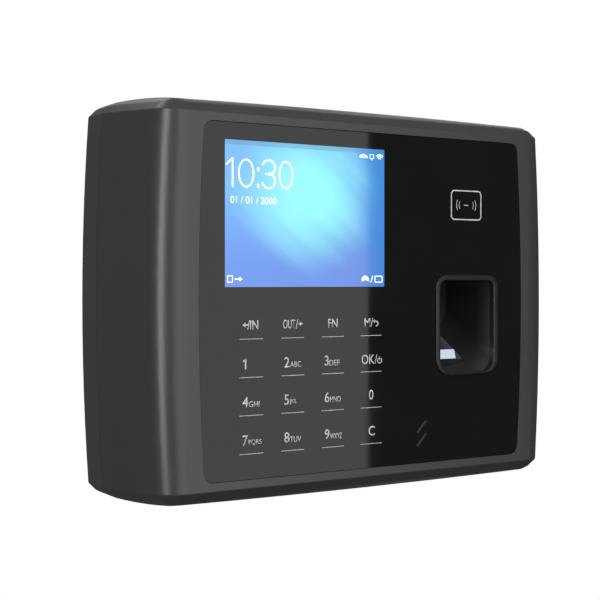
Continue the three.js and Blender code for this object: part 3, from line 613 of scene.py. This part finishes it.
def plan_outline(inset, front, back, front_steps=8, corner_steps=14, side_steps=16):
    """The outline seen from above, from the front round the right side, then its mirror."""
    waist = WAIST_HALF_WIDTH - inset
    rear = BACK_HALF_WIDTH - inset
    radius = max(EDGE_RADIUS - inset, BEVEL + 0.5)
    slope = math.atan(FLARE)
    centre = half_width_at(front) - inset - radius * (1 - math.sin(slope)) / math.cos(slope)
    right = [(centre * (i + 0.5) / front_steps, front) for i in range(front_steps)]
    for i in range(corner_steps + 1):
        angle = -math.pi / 2 + (math.pi / 2 - slope) * i / corner_steps
        right.append((centre + radius * math.cos(angle), front + radius * (1 + math.sin(angle))))
    start = right[-1]
    for i in range(1, side_steps + 1):
        share = i / side_steps
        right.append((start[0] + (waist - start[0]) * share, start[1] + (SPLIT - start[1]) * share))
    for i in range(1, 5):
        share = i / 4
        right.append((waist + (rear - waist) * share, SPLIT + (back - SPLIT) * share))
    return right + [(-x, y) for x, y in reversed(right)]


def inward(outline):
    """For each outline point, the move inward that insets the outline by one."""
    moves = []
    for i, (x, y) in enumerate(outline):
        before = outline[i - 1]
        after = outline[(i + 1) % len(outline)]
        n1 = Vector((y - before[1], before[0] - x)).normalized()
        n2 = Vector((after[1] - y, x - after[0])).normalized()
        moves.append(-(n1 + n2) / (1 + n1.dot(n2)))
    return moves


def case_form(inset=0.0, front=FRONT, back=BEYOND_BACK, side_rows=12, round_steps=5):
    """The whole case form: drafted, bowed sides, a bevel above and below, and crowned ends."""
    plan = plan_outline(inset, front, back)
    moves = inward(plan)
    side_top = SIDE_HALF_HEIGHT - inset
    crown_top = CROWN_HALF_HEIGHT - inset
    middle_y = (front + back) / 2

    def crowned(x, y):
        along = min(0, y - CROWN_CREST)
        sag = x * x / (2 * CROWN_BOW_RADIUS)
        z = crown_top - CROWN_RADIUS + math.sqrt(CROWN_RADIUS ** 2 - along ** 2)
        return Vector((x, y, z * (1 - sag / CROWN_HALF_HEIGHT)))

    def drafted(x, y, z):
        z *= 1 + DRAFT * (min(y, SPLIT) - FRONT) / SIDE_HALF_HEIGHT
        return Vector((x * (1 - z * z / (2 * BOW_RADIUS * WAIST_HALF_WIDTH)), y, z))

    def arc(a, corner, b):
        steps = [k / round_steps for k in range(round_steps + 1)]
        return [a * (1 - t) ** 2 + corner * 2 * t * (1 - t) + b * t ** 2 for t in steps]

    def profile(base, move):
        """Points up one side, from the middle height to the middle of the crown."""

        def on_bevel(t):
            return drafted(base[0] + t * move.x, base[1] + t * move.y, side_top + t)

        def on_crown(t):
            level_point = on_bevel(t)
            return crowned(level_point.x, level_point.y)

        low, high = 0.0, BEVEL
        for _ in range(30):
            middle = (low + high) / 2
            if on_bevel(middle).z < on_crown(middle).z:
                low = middle
            else:
                high = middle
        facet = min(low - 0.25, FACET)
        far = on_crown(low + ROLL)
        start = on_bevel(facet)
        corner = on_bevel(low).lerp((start + far) / 2, CREASE)
        foot = side_top - LOWER_ROUND
        points = [drafted(*base, foot * k / side_rows) for k in range(side_rows)]
        points += arc(drafted(*base, foot), drafted(*base, side_top), on_bevel(LOWER_ROUND * 0.7))
        points += arc(start, corner, far)
        for share in (0.94, 0.86, 0.76, 0.62, 0.44, 0.22, 0.02):
            points.append(crowned(far.x * share, middle_y + (far.y - middle_y) * share))
        return points

    upper = [profile(base, move) for base, move in zip(plan, moves)]
    flip = Vector((1, 1, -1))
    columns = [[p * flip for p in reversed(points[1:])] + points for points in upper]
    return loft("case", list(zip(*columns)))


def panel_outline(grow, corner_steps=10, side_steps=16):
    """Straight top and bottom, bowed sides, small corner radius."""
    straight = PANEL_HALF_HEIGHT - PANEL_RADIUS
    radius = PANEL_RADIUS + grow

    def side_at(z):
        return PANEL_HALF_WIDTH + grow - z * z / (2 * PANEL_BOW_RADIUS)

    corner = side_at(straight) - radius
    right = []
    for i in range(corner_steps + 1):
        angle = math.pi / 2 * (i / corner_steps - 1)
        right.append((corner + radius * math.cos(angle), -straight + radius * math.sin(angle)))
    for i in range(1, side_steps):
        z = straight * (2 * i / side_steps - 1)
        right.append((side_at(z), z))
    right += [(x, -z) for x, z in reversed(right[:corner_steps + 1])]
    return right + [(-x, z) for x, z in reversed(right)]


def at_plane(y, tolerance=0.02):
    """Chooses the edges that lie in the plane at y."""
    return lambda a, b, edge: abs(a.y - y) < tolerance and abs(b.y - y) < tolerance


def front_housing():
    shell = cut(case_form(), block(-120, 120, SPLIT, 20, -100, 100), case_form(WALL, FRONT_WALL_BACK))
    bevel(shell, 0.3, at_plane(SPLIT))
    add(shell, *[rod(4.2, POCKET_FLOOR + 1, SPLIT - SEAM, x, z) for x, z in CASE_SCREWS])
    mouth = [(grow, FRONT + setback) for grow, setback in quarter_round(MOUTH_ROUND, 3)]
    pocket = loft("pocket", [level(panel_outline(PANEL_GAP), POCKET_FLOOR)]
                  + [level(panel_outline(PANEL_GAP + grow), y) for grow, y in reversed(mouth)]
                  + [level(panel_outline(PANEL_GAP + MOUTH_ROUND), FRONT - 1)])
    screen_low, screen_high = box("screen_cell")
    keys_low, keys_high = box("key_board")
    ring_low, ring_high = box("finger_frame")
    port_low, port_high = box("usb_port")
    flap_low, flap_high = box("usb_cover")
    cut(
        shell,
        pocket,
        *[rod(1.65, -30, SPLIT + 1, x, z) for x, z in CASE_SCREWS],
        block(screen_low.x - 0.5, screen_high.x + 0.5, -62, -57, screen_low.z - 0.5, screen_high.z + 0.5),
        block(keys_low.x - 0.5, keys_high.x + 0.5, -62, -57, keys_low.z - 0.5, keys_high.z + 0.5),
        block(ring_low.x - 0.4, ring_high.x - 0.1, -62, -57, ring_low.z - 1.6, ring_high.z),
        rod(6.5, -62, -57, *SPEAKER),
        block(flap_low.x - 0.3, flap_high.x + 0.3, flap_low.y - 0.3, flap_high.y + 0.3, -80, FLAP_TOP),
        block(port_low.x - 0.3, port_high.x + 0.3, port_low.y - 0.3, port_high.y + 0.3, -80, PORT_TOP),
    )
    finish_piece(shell, "front_housing_shell", "charcoal_shell", ["front_housing"], angle=CREASE_ANGLE)


def front_panel():
    panel = rounded_slab("panel", panel_outline, PANEL_FRONT, PANEL_BACK, 0.12)
    ring_low, ring_high = box("finger_frame")
    gap = 0.25
    opening = rounded_rect(ring_low.x, ring_high.x, ring_low.z, ring_high.z, **OUTER_RADII, grow=gap)
    cut(
        panel,
        slab(opening, FRONT - 2, POCKET_FLOOR),
        block(PICTURE["x0"], PICTURE["x1"], FRONT - 2, POCKET_FLOOR, PICTURE["z0"], PICTURE["z1"]),
        *[slit(z) for z in SLIT_HEIGHTS],
    )
    finish_piece(panel, "front_glass", "gloss_black_panel", ["front_panel"])


def slit_mesh():
    """The dust mesh that shows in the sound slits."""
    mesh = add(*[slit(z, PANEL_FRONT + 0.08, PANEL_BACK) for z in SLIT_HEIGHTS])
    finish_piece(mesh, "speaker_mesh", "speaker_cloth")


def slit(z, front=FRONT - 2, back=POCKET_FLOOR):
    """A slanting sound slit, as a tool for cutting."""
    lean = math.atan2(4.9, 4.7)
    outline = []
    for x, dz in rounded_rect(-3.3, 3.3, -0.45, 0.45, 0.44):
        outline.append((
            SPEAKER[0] + x * math.cos(lean) - dz * math.sin(lean),
            z + x * math.sin(lean) + dz * math.cos(lean),
        ))
    return slab(outline, front, back)


def screen():
    """The display cell with its bonded cover window, flush with the front glass."""
    low, high = box("screen_cell")
    cell = block(low.x, high.x, low.y, high.y, low.z, high.z)
    bevel(cell, 0.25)
    gap = 0.02
    window = block(PICTURE["x0"] + gap, PICTURE["x1"] - gap, PANEL_FRONT, low.y + 0.3,
                   PICTURE["z0"] + gap, PICTURE["z1"] - gap)
    finish_piece(add(cell, window), "screen_display", "screen", ["screen_cell"])


# ---------- printed and shown marks ----------

class Marks:
    """Thin flat marks just in front of the glass, gathered into one piece."""

    def __init__(self, y=PRINT, thickness=0.015):
        self.bm = bmesh.new()
        self.y0 = y - thickness
        self.y1 = y

    def shape(self, outline):
        front = [self.bm.verts.new(Vector((x, self.y0, z)) * MM) for x, z in outline]
        back = [self.bm.verts.new(Vector((x, self.y1, z)) * MM) for x, z in outline]
        self.bm.faces.new(front)
        self.bm.faces.new(back)
        for i in range(len(outline)):
            j = (i + 1) % len(outline)
            self.bm.faces.new((front[i], front[j], back[j], back[i]))

    def line(self, points, width):
        """A stroke of even width along points."""
        left, right = [], []
        for i, (x, z) in enumerate(points):
            before = points[max(i - 1, 0)]
            after = points[min(i + 1, len(points) - 1)]
            side = Vector((before[1] - after[1], after[0] - before[0])).normalized() * width / 2
            left.append((x + side.x, z + side.y))
            right.append((x - side.x, z - side.y))
        self.shape(left + right[::-1])

    def bow(self, x, z, radius, start, end, width, tall=1.0, steps=14):
        """A stroke along part of a circle or an upright ellipse."""
        points = []
        for i in range(steps + 1):
            angle = math.radians(start + (end - start) * i / steps)
            points.append((x + radius * math.cos(angle), z + radius * tall * math.sin(angle)))
        self.line(points, width)

    def frame(self, outer, inner):
        """A flat ring between two outlines with the same number of points."""
        section = ((outer, self.y0), (outer, self.y1), (inner, self.y1), (inner, self.y0))
        rows = [[self.bm.verts.new(Vector((x, y, z)) * MM) for x, z in outline] for outline, y in section]
        for lower, upper in zip(rows, rows[1:] + rows[:1]):
            for i in range(len(outer)):
                j = (i + 1) % len(outer)
                self.bm.faces.new((lower[i], lower[j], upper[j], upper[i]))

    def text(self, words, x, z, height, weight=0.0, squeeze=1.0, limit=None):
        """Plain lettering, its left edge at x and its baseline at z. Returns its right edge.

        A limit narrows lettering that would come out wider."""
        curve = bpy.data.curves.new("words", "FONT")
        curve.body = words
        curve.offset = weight
        curve.resolution_u = 5
        holder = new_object("words", curve)
        graph = bpy.context.evaluated_depsgraph_get()
        mesh = bpy.data.meshes.new_from_object(holder.evaluated_get(graph))
        bpy.data.objects.remove(holder)
        xs = [v.co.x for v in mesh.vertices]
        ys = [v.co.y for v in mesh.vertices]
        scale = height / (max(ys) - min(ys))
        if limit:
            squeeze = min(squeeze, limit / (scale * (max(xs) - min(xs))))
        flat = bmesh.new()
        flat.from_mesh(mesh)
        bmesh.ops.remove_doubles(flat, verts=flat.verts, dist=1e-5)
        thick = bmesh.ops.extrude_face_region(flat, geom=flat.faces[:])
        for vert in [v for v in thick["geom"] if isinstance(v, bmesh.types.BMVert)]:
            vert.co.z = 1
        for vert in flat.verts:
            across = x + (vert.co.x - min(xs)) * scale * squeeze
            up = z + (vert.co.y - min(ys)) * scale
            depth = self.y0 if vert.co.z > 0.5 else self.y1
            vert.co = Vector((across, depth, up)) * MM
        flat.to_mesh(mesh)
        flat.free()
        self.bm.from_mesh(mesh)
        return x + (max(xs) - min(xs)) * scale * squeeze

    def arrow(self, x, z, length, direction=1):
        """A short arrow from x towards its tip, direction 1 to the right and -1 to the left."""
        tip = x + direction * length
        neck = tip - direction * 1.3
        self.line([(x, z), (neck, z)], 0.42)
        self.shape([(tip, z), (neck, z + 0.8), (neck, z - 0.8)][::direction])

    def done(self, name, material):
        piece = from_bmesh(name, self.bm)
        piece.data.materials.append(MATERIALS[material])
        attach(piece, BODY)


KEY_COLUMNS = (-58.9, -41.3, -23.6, -6.0)
KEY_ROWS = (-13.6, -27.5, -41.3, -55.2)
KEY_WIDTH = 9.9
KEY_LABELS = (
    (("1", ""), ("2", "ABC"), ("3", "DEF")),
    (("4", "GHI"), ("5", "JKL"), ("6", "MNO")),
    (("7", "PQRS"), ("8", "TUV"), ("9", "WXYZ")),
)

LETTERS_WIDTH = {3: 4.8, 4: 5.4}  # widest run of three or four letters


def key_legends():
    marks = Marks()
    for x in KEY_COLUMNS:
        for z in KEY_ROWS:
            marks.line([(x, z), (x + KEY_WIDTH, z)], 0.2)
    for row, labels in zip(KEY_ROWS[1:], KEY_LABELS):
        for x, (digit, letters) in zip(KEY_COLUMNS, labels):
            if digit == "1":
                marks.line([(x + 1.5, row + 5.7), (x + 2.55, row + 6.6)], 0.45)
                marks.line([(x + 2.55, row + 3.0), (x + 2.55, row + 6.8)], 0.52)
                continue
            end = marks.text(digit, x + 1.3, row + 3.0, 3.8, 0.006, 0.92)
            marks.text(letters, end + 0.25, row + 3.0, 2.1, 0.002, 0.94, LETTERS_WIDTH[len(letters)])
    top = KEY_ROWS[0] + 3.4
    left = KEY_COLUMNS[0] + 1.2
    marks.arrow(left + 2.4, top + 1.7, 2.4, -1)
    end = marks.text("/", left + 2.1, top, 3.4, squeeze=0.8)
    marks.text("IN", end + 0.1, top, 3.3, 0.006, 0.8)
    end = marks.text("OUT", KEY_COLUMNS[1] + 0.8, top, 3.3, 0.006, limit=5.3)
    end = marks.text("/", end + 0.1, top, 3.4, squeeze=0.8)
    marks.arrow(end + 0.1, top + 1.7, 2.0)
    marks.text("FN", KEY_COLUMNS[2] + 2.9, top, 3.3, 0.006, 0.8)
    end = marks.text("M", KEY_COLUMNS[3] + 1.9, top, 3.3, 0.006, 0.86)
    end = marks.text("/", end + 0.2, top, 3.4, squeeze=0.9)
    marks.bow(end + 1.4, top + 1.2, 0.9, -100, 90, 0.4)
    marks.line([(end + 1.4, top + 2.1), (end + 0.6, top + 2.1)], 0.4)
    marks.shape([(end - 0.1, top + 2.1), (end + 0.9, top + 1.4), (end + 0.9, top + 2.8)])
    ok = KEY_ROWS[1] + 3.0
    end = marks.text("OK", KEY_COLUMNS[3] + 0.6, ok, 3.6, 0.0, 0.8)
    end = marks.text("/", end + 0.2, ok, 3.5, 0.0, 0.8)
    marks.bow(end + 1.2, ok + 1.2, 1.0, 120, 420, 0.32)
    marks.line([(end + 1.2, ok + 1.3), (end + 1.2, ok + 2.7)], 0.32)
    marks.text("0", KEY_COLUMNS[3] + 4.0, KEY_ROWS[2] + 3.0, 3.8, 0.006, 0.84)
    marks.text("C", KEY_COLUMNS[3] + 3.8, KEY_ROWS[3] + 3.0, 3.8, 0.012, 0.86)
    marks.done("key_legends", "legend_ink")


def card_icon():
    x0, x1, z0, z1 = 38.1, 53.9, 32.0, 44.1
    marks = Marks()
    marks.frame(rounded_rect(x0, x1, z0, z1, 1.8), rounded_rect(x0, x1, z0, z1, 1.8, -0.48))
    x, z = (x0 + x1) / 2, (z0 + z1) / 2
    marks.line([(x - 1.2, z), (x + 1.2, z)], 0.26)
    for radius in (3.2, 4.5):
        marks.bow(x + 0.5, z, radius, -28, 28, 0.24)
        marks.bow(x - 0.5, z, radius, 152, 208, 0.24)
    marks.done("card_mark", "legend_ink")


def screen_marks():
    """A clock, a numeric date and plain icons on the lit picture."""
    marks = Marks()
    left, right = PICTURE["x0"], PICTURE["x1"]
    low, high = PICTURE["z0"], PICTURE["z1"]
    height = 10.4
    base = high - 17.0
    line = 0.54
    x = left + 0.5
    marks.line([(x, base + height - 2.4), (x + 2.6, base + height)], line)
    marks.line([(x + 2.6, base), (x + 2.6, base + height)], line)
    zero = x + 8.2
    marks.frame(
        ellipse(zero, base + height / 2, 3.3, height / 2),
        ellipse(zero, base + height / 2, 3.3 - line, height / 2 - line),
    )
    colon = zero + 5.0
    for z in (base + 0.8, base + height * 0.66):
        marks.line([(colon, z - 0.7), (colon, z + 0.7)], 0.75)
    three = colon + 4.4
    for z, start, end in ((base + height * 0.745, -90, 165), (base + height * 0.27, -165, 90)):
        marks.bow(three, z, 2.7, start, end, line, tall=0.98 if start == -90 else 1.02)
    marks.line([(three - 1.4, base + height * 0.505), (three + 0.4, base + height * 0.505)], line)
    last = three + 7.4
    marks.frame(ellipse(last, base + height / 2, 3.1, height / 2),
                ellipse(last, base + height / 2, 3.1 - line, height / 2 - line))
    marks.text("01 / 01 / 2000", left + 2.3, base - 5.8, 2.5, -0.012, 0.92)
    # Cloud, link and wireless icons.
    top = high - 3.4
    for dx, radius in ((-10.8, 0.75), (-9.7, 1.05), (-8.7, 0.7)):
        marks.bow(right + dx, top + 0.1, radius, 0, 180, 0.22)
    marks.line([(right - 11.5, top), (right - 8.0, top)], 0.22)
    marks.frame(rounded_rect(right - 6.9, right - 4.9, top - 0.3, top + 1.3, 0.2, steps=2),
                rounded_rect(right - 6.9, right - 4.9, top - 0.3, top + 1.3, 0.2, -0.19, steps=2))
    marks.line([(right - 5.9, top - 0.3), (right - 5.9, top - 0.9)], 0.35)
    for radius in (0.7, 1.4, 2.1):
        marks.bow(right - 2.2, top - 0.7, radius, 45, 135, 0.32)
    # Door icon at the lower left, finger and card icons at the lower right.
    foot = low + 1.6
    marks.frame(rounded_rect(left + 0.9, left + 3.2, foot, foot + 2.6, 0.3, steps=3),
                rounded_rect(left + 0.9, left + 3.2, foot, foot + 2.6, 0.3, -0.29, steps=3))
    marks.arrow(left + 4.0, foot + 1.3, 3.2)
    for radius in (0.5, 1.0, 1.5):
        marks.bow(right - 9.0, foot + 1.0, radius, -20, 200, 0.3)
    marks.line([(right - 6.4, foot), (right - 5.4, foot + 2.7)], 0.3)
    marks.frame(rounded_rect(right - 4.6, right - 0.9, foot, foot + 2.6, 0.4, steps=3),
                rounded_rect(right - 4.6, right - 0.9, foot, foot + 2.6, 0.4, -0.3, steps=3))
    marks.done("screen_marks", "screen_white")


def ellipse(x, z, wide, tall, steps=40):
    return [
        (x + wide * math.cos(math.tau * i / steps), z + tall * math.sin(math.tau * i / steps))
        for i in range(steps)
    ]


# ---------- finger recess ----------

INNER = {"x0": 32.5, "x1": 60.2, "z0": -29.6, "z1": 7.6, "radius": 3, "lower": 5.8}
OUTER_RADII = {"radius": 5, "lower": 6}


def finger_frame():
    low, high = box("finger_frame")
    outer_edge = quarter_round(0.6)
    inner_edge = quarter_round(0.5)

    def outer(grow):
        return rounded_rect(low.x, high.x, low.z, high.z, **OUTER_RADII, grow=grow)

    def inner(grow):
        return rounded_rect(**INNER, grow=grow)

    loops = [level(outer(0), high.y)]
    loops += [level(outer(-inset), low.y + setback) for inset, setback in reversed(outer_edge)]
    loops += [level(inner(inset), low.y + setback) for inset, setback in inner_edge]
    loops += [level(inner(0), high.y)]
    finish_piece(ring_loft("ring", loops), "finger_bezel", "frame_grey", ["finger_frame"])


def tilted(piece):
    """Moves a piece drawn about the centre of the sensor window, square to it, into place."""
    piece.data.transform(Matrix.Translation(WINDOW * MM) @ Matrix.Rotation(TILT, 4, "X"))
    return piece


def finger_guide():
    x0, x1 = INNER["x0"] - WELL_WALL, INNER["x1"] + WELL_WALL
    top, bottom = INNER["z1"] + WELL_WALL, INNER["z0"] - WELL_WALL
    front, back = -61.25, WELL_BACK + WELL_WALL
    drop = 4.6 / math.cos(TILT)
    knee = WINDOW.y + (bottom - WINDOW.z + drop) / math.tan(TILT)
    heel = WINDOW.z - drop + (back - WINDOW.y) * math.tan(TILT)
    side = [(front, bottom), (knee, bottom), (back, heel), (back, top), (front, top)]
    body = loft("guide", [[(x, y, z) for y, z in side] for x in (x0, x1)])
    bevel(body, 0.5)
    sag = TROUGH_RADIUS - math.sqrt(TROUGH_RADIUS ** 2 - WINDOW_HALF_WIDTH ** 2)
    steps = 48
    channel = [
        (TROUGH_RADIUS * math.cos(math.pi * (1 + i / steps)),
         TROUGH_RADIUS - sag + TROUGH_RADIUS * math.sin(math.pi * (1 + i / steps)))
        for i in range(steps + 1)
    ]
    channel += [(TROUGH_RADIUS, 80), (-TROUGH_RADIUS, 80)]
    trough = tilted(slab(channel, -80, 40))
    cavity = combine(slab(rounded_rect(**INNER), -70, WELL_BACK), "INTERSECT", trough)
    half_width, half_length = WINDOW_HALF_WIDTH + 0.3, WINDOW_HALF_LENGTH + 0.3
    window = tilted(block(-half_width, half_width, -half_length, half_length, -20, 0.3))
    ears = block(22, 70.7, -49.8, -47.8, -14, -8)
    cut(add(body, ears), cavity, window, *[rod(1.4, -55, -45, x, -11) for x in (26.35, 66.35)])
    finish_piece(body, "finger_well", "gloss_black_plastic", ["finger_guide"], angle=25)


# ---------- carried-over pieces ----------

def refined(node, width=0.15):
    """A node's shape with welded corners and softly rounded edges, in a piece of its own."""
    slot = SLOT_OF[node]
    piece = new_object(f"{node}.fine", frame["nodes"][node].data.copy())
    bm = bmesh.new()
    bm.from_mesh(piece.data)
    bmesh.ops.remove_doubles(bm, verts=bm.verts, dist=2e-6)
    bm.to_mesh(piece.data)
    bm.free()
    if "custom_normal" in piece.data.attributes:
        piece.data.attributes.remove(piece.data.attributes["custom_normal"])
    bevel(piece, width)
    finish_piece(piece, f"{node}.fine", slot, [node], BODY_OF[node])


SLOT_OF = {part["node"]: part["material_slot"] for part in frame["record"]["subparts"]}
BODY_OF = {node: body for body, nodes in frame["record"]["behaviour"]["bodies"].items() for node in nodes}


def rear_cover():
    open_wall = WALL + LIP
    shell = cut(case_form(), block(-120, 120, -80, SPLIT + SEAM, -100, 100),
                block(-120, 120, BACK_RIM, 20, -100, 100), case_form(open_wall, -40, -4.9))
    bevel(shell, 0.25, at_plane(SPLIT + SEAM))
    bevel(shell, 0.5, at_plane(BACK_RIM))
    lip = cut(case_form(WALL + 0.35, -40), block(-120, 120, -80, SPLIT - LIP_REACH, -100, 100),
              block(-120, 120, SPLIT + 2, 20, -100, 100), case_form(open_wall, -50))
    plate_low, plate_high = box("wall_plate")
    add(
        shell,
        lip,
        block(BAY_LOW.x - 2, BAY_HIGH.x + 2, BAY_LOW.y - 2, -3, BAY_LOW.z - 2, BAY_HIGH.z + 2),
        *[rod(4.5, SPLIT + SEAM, -2, x, z) for x, z in CASE_SCREWS],
        *[rod(3, -24.8, -3, x, z) for x, z in BOARD_POSTS],
    )
    sockets = ("network_jack", "power_jack", "terminal_block")
    cut(
        shell,
        block(plate_low.x - 2, plate_high.x + 2, -2.5, 5, plate_low.z - LIFT - 1, plate_high.z + 2),
        block(BAY_LOW.x, BAY_HIGH.x, BAY_LOW.y, BAY_HIGH.y, BAY_LOW.z, BAY_HIGH.z),
        *[rod(1.7, SPLIT - 1, 5, x, z) for x, z in CASE_SCREWS],
        *[rod(3.2, -4, 5, x, z) for x, z in CASE_SCREWS],
        *[rod(1.3, -26, -14, x, z) for x, z in BOARD_POSTS],
        *[block(x - 5.6, x + 5.6, -12, 5, z - LIFT - 0.5, z + 1.75) for x, z in HOOKS],
        *[socket_cutout(name) for name in sockets],
        post(2, -30, -23, -10.5, -22.8),
        block(-7, 7, -12, 5, plate_low.z - LIFT - 0.5, plate_low.z + 1.8),
        rod(1.8, -12, 5, 40, 24),
        post(1.75, -80, -68, 0, SECURITY_Y),
        post(3.3, -80, SECURITY_SEAT + 0.3, 0, SECURITY_Y),
    )
    finish_piece(shell, "rear_cover_shell", "charcoal_rear", ["rear_cover"], angle=CREASE_ANGLE)


def socket_cutout(node):
    low, high = box(node)
    return block(low.x - 0.3, high.x + 0.3, low.y - 0.3, high.y + 0.3, -30, 0)


# ---------- stage ----------

CARD = (-480, 792, -1200, -700, 900)  # left and right end, distance in y, bottom and top
CARD_GLOW = 1.36
WORLD_GLOW = 0.095
CAMERA_PLACE = Vector((-271.85, -448.85, 7.4))
CAMERA_TURN = math.atan2(0.5262, 0.8503)  # to the right of straight ahead
FLOOR_HEIGHT = -330
FLOOR_REACH = 4000


def studio():
    camera_data = bpy.data.cameras.new("camera")
    camera_data.lens = 73.3
    camera_data.sensor_width = 36
    camera_data.shift_y = -0.0317
    camera_data.clip_start = 0.01
    camera = new_object("camera", camera_data)
    camera.location = CAMERA_PLACE * MM
    camera.rotation_euler = (math.pi / 2, 0, -CAMERA_TURN)
    bpy.context.scene.camera = camera


def softbox(name, angle, distance, width, height, strength, z=0.0, glossy=True, target=(0, -30, 0)):
    """An area lamp at an angle to the left of the front, facing the terminal."""
    lamp = bpy.data.lights.new(name, "AREA")
    lamp.shape = "RECTANGLE"
    lamp.size = width * MM
    lamp.size_y = height * MM
    lamp.energy = strength
    holder = new_object(name, lamp)
    holder.visible_glossy = glossy
    holder.visible_camera = False
    turn = math.radians(angle)
    aim = Vector(target) * MM
    place_at = Vector((-math.sin(turn) * distance, -math.cos(turn) * distance, z)) * MM + aim
    holder.location = place_at
    holder.rotation_euler = (aim - place_at).to_track_quat("-Z", "Y").to_euler()
    return holder


def reflection_card():
    """A lit card in front, whose right end shows in the left part of the glass."""
    bm = bmesh.new()
    x0, x1, y, z0, z1 = CARD
    corners = [(x0, y, z0), (x1, y, z0), (x1, y, z1), (x0, y, z1)]
    bm.faces.new([bm.verts.new(Vector(c) * MM) for c in corners])
    card = from_bmesh("stage_card", bm)
    material = bpy.data.materials.new("card_light")
    material.use_nodes = True
    tree = material.node_tree
    tree.nodes.clear()
    emission = tree.nodes.new("ShaderNodeEmission")
    emission.inputs["Strength"].default_value = CARD_GLOW
    output = tree.nodes.new("ShaderNodeOutputMaterial")
    tree.links.new(emission.outputs[0], output.inputs["Surface"])
    card.data.materials.append(material)
    card.visible_camera = False


def floor():
    bm = bmesh.new()
    bm.faces.new([bm.verts.new(Vector((sx * FLOOR_REACH, sy * FLOOR_REACH, FLOOR_HEIGHT)) * MM)
                  for sx, sy in ((-1, -1), (1, -1), (1, 1), (-1, 1))])
    ground = from_bmesh("stage_floor", bm)
    material = bpy.data.materials.new("pale_floor")
    material.use_nodes = True
    tree = material.node_tree
    shader = tree.nodes["Principled BSDF"]
    shader.inputs["Base Color"].default_value = (0.85, 0.85, 0.85, 1)
    shader.inputs["Roughness"].default_value = 0.9
    white = tree.nodes.new("ShaderNodeEmission")
    path = tree.nodes.new("ShaderNodeLightPath")
    mix = tree.nodes.new("ShaderNodeMixShader")
    tree.links.new(path.outputs["Is Camera Ray"], mix.inputs[0])
    tree.links.new(shader.outputs[0], mix.inputs[1])
    tree.links.new(white.outputs[0], mix.inputs[2])
    tree.links.new(mix.outputs[0], tree.nodes["Material Output"].inputs["Surface"])
    ground.data.materials.append(material)
    ground.visible_glossy = False
    ground.visible_diffuse = False


def world():
    scene_world = bpy.data.worlds.new("studio")
    scene_world.use_nodes = True
    tree = scene_world.node_tree
    background = tree.nodes["Background"]
    path = tree.nodes.new("ShaderNodeLightPath")
    strength = tree.nodes.new("ShaderNodeMapRange")
    strength.inputs["To Min"].default_value = WORLD_GLOW
    strength.inputs["To Max"].default_value = 1.0
    tree.links.new(path.outputs["Is Camera Ray"], strength.inputs["Value"])
    tree.links.new(strength.outputs[0], background.inputs["Strength"])
    background.inputs["Color"].default_value = (1, 1, 1, 1)
    bpy.context.scene.world = scene_world
    bpy.context.scene.view_settings.view_transform = "Standard"


def lights():
    softbox("side_light", 73, 900, 260, 1000, 4.8, z=180)
    softbox("front_fill", 10, 1500, 1200, 900, 16.0, z=500, glossy=False)
    softbox("top_light", -20, 300, 700, 500, 6.5, z=900, glossy=False)
    softbox("crown_light", 220, 1100, 500, 400, 1.3, z=800)
    softbox("back_light", 215, 1500, 900, 900, 14.0, z=500)
    softbox("floor_light", 220, 420, 220, 160, 0.07, z=-290)
    softbox("bevel_light", 172, 470, 60, 60, 0.3, z=520)


# ---------- build ----------

studio()
world()
floor()
reflection_card()
lights()

front_housing()
rear_cover()
front_panel()
slit_mesh()
screen()
key_legends()
card_icon()
screen_marks()
finger_frame()
finger_guide()

made = {"front_housing", "rear_cover", "front_panel", "screen_cell", "finger_frame", "finger_guide"}
for node in frame["nodes"]:
    if node not in made:
        refined(node)
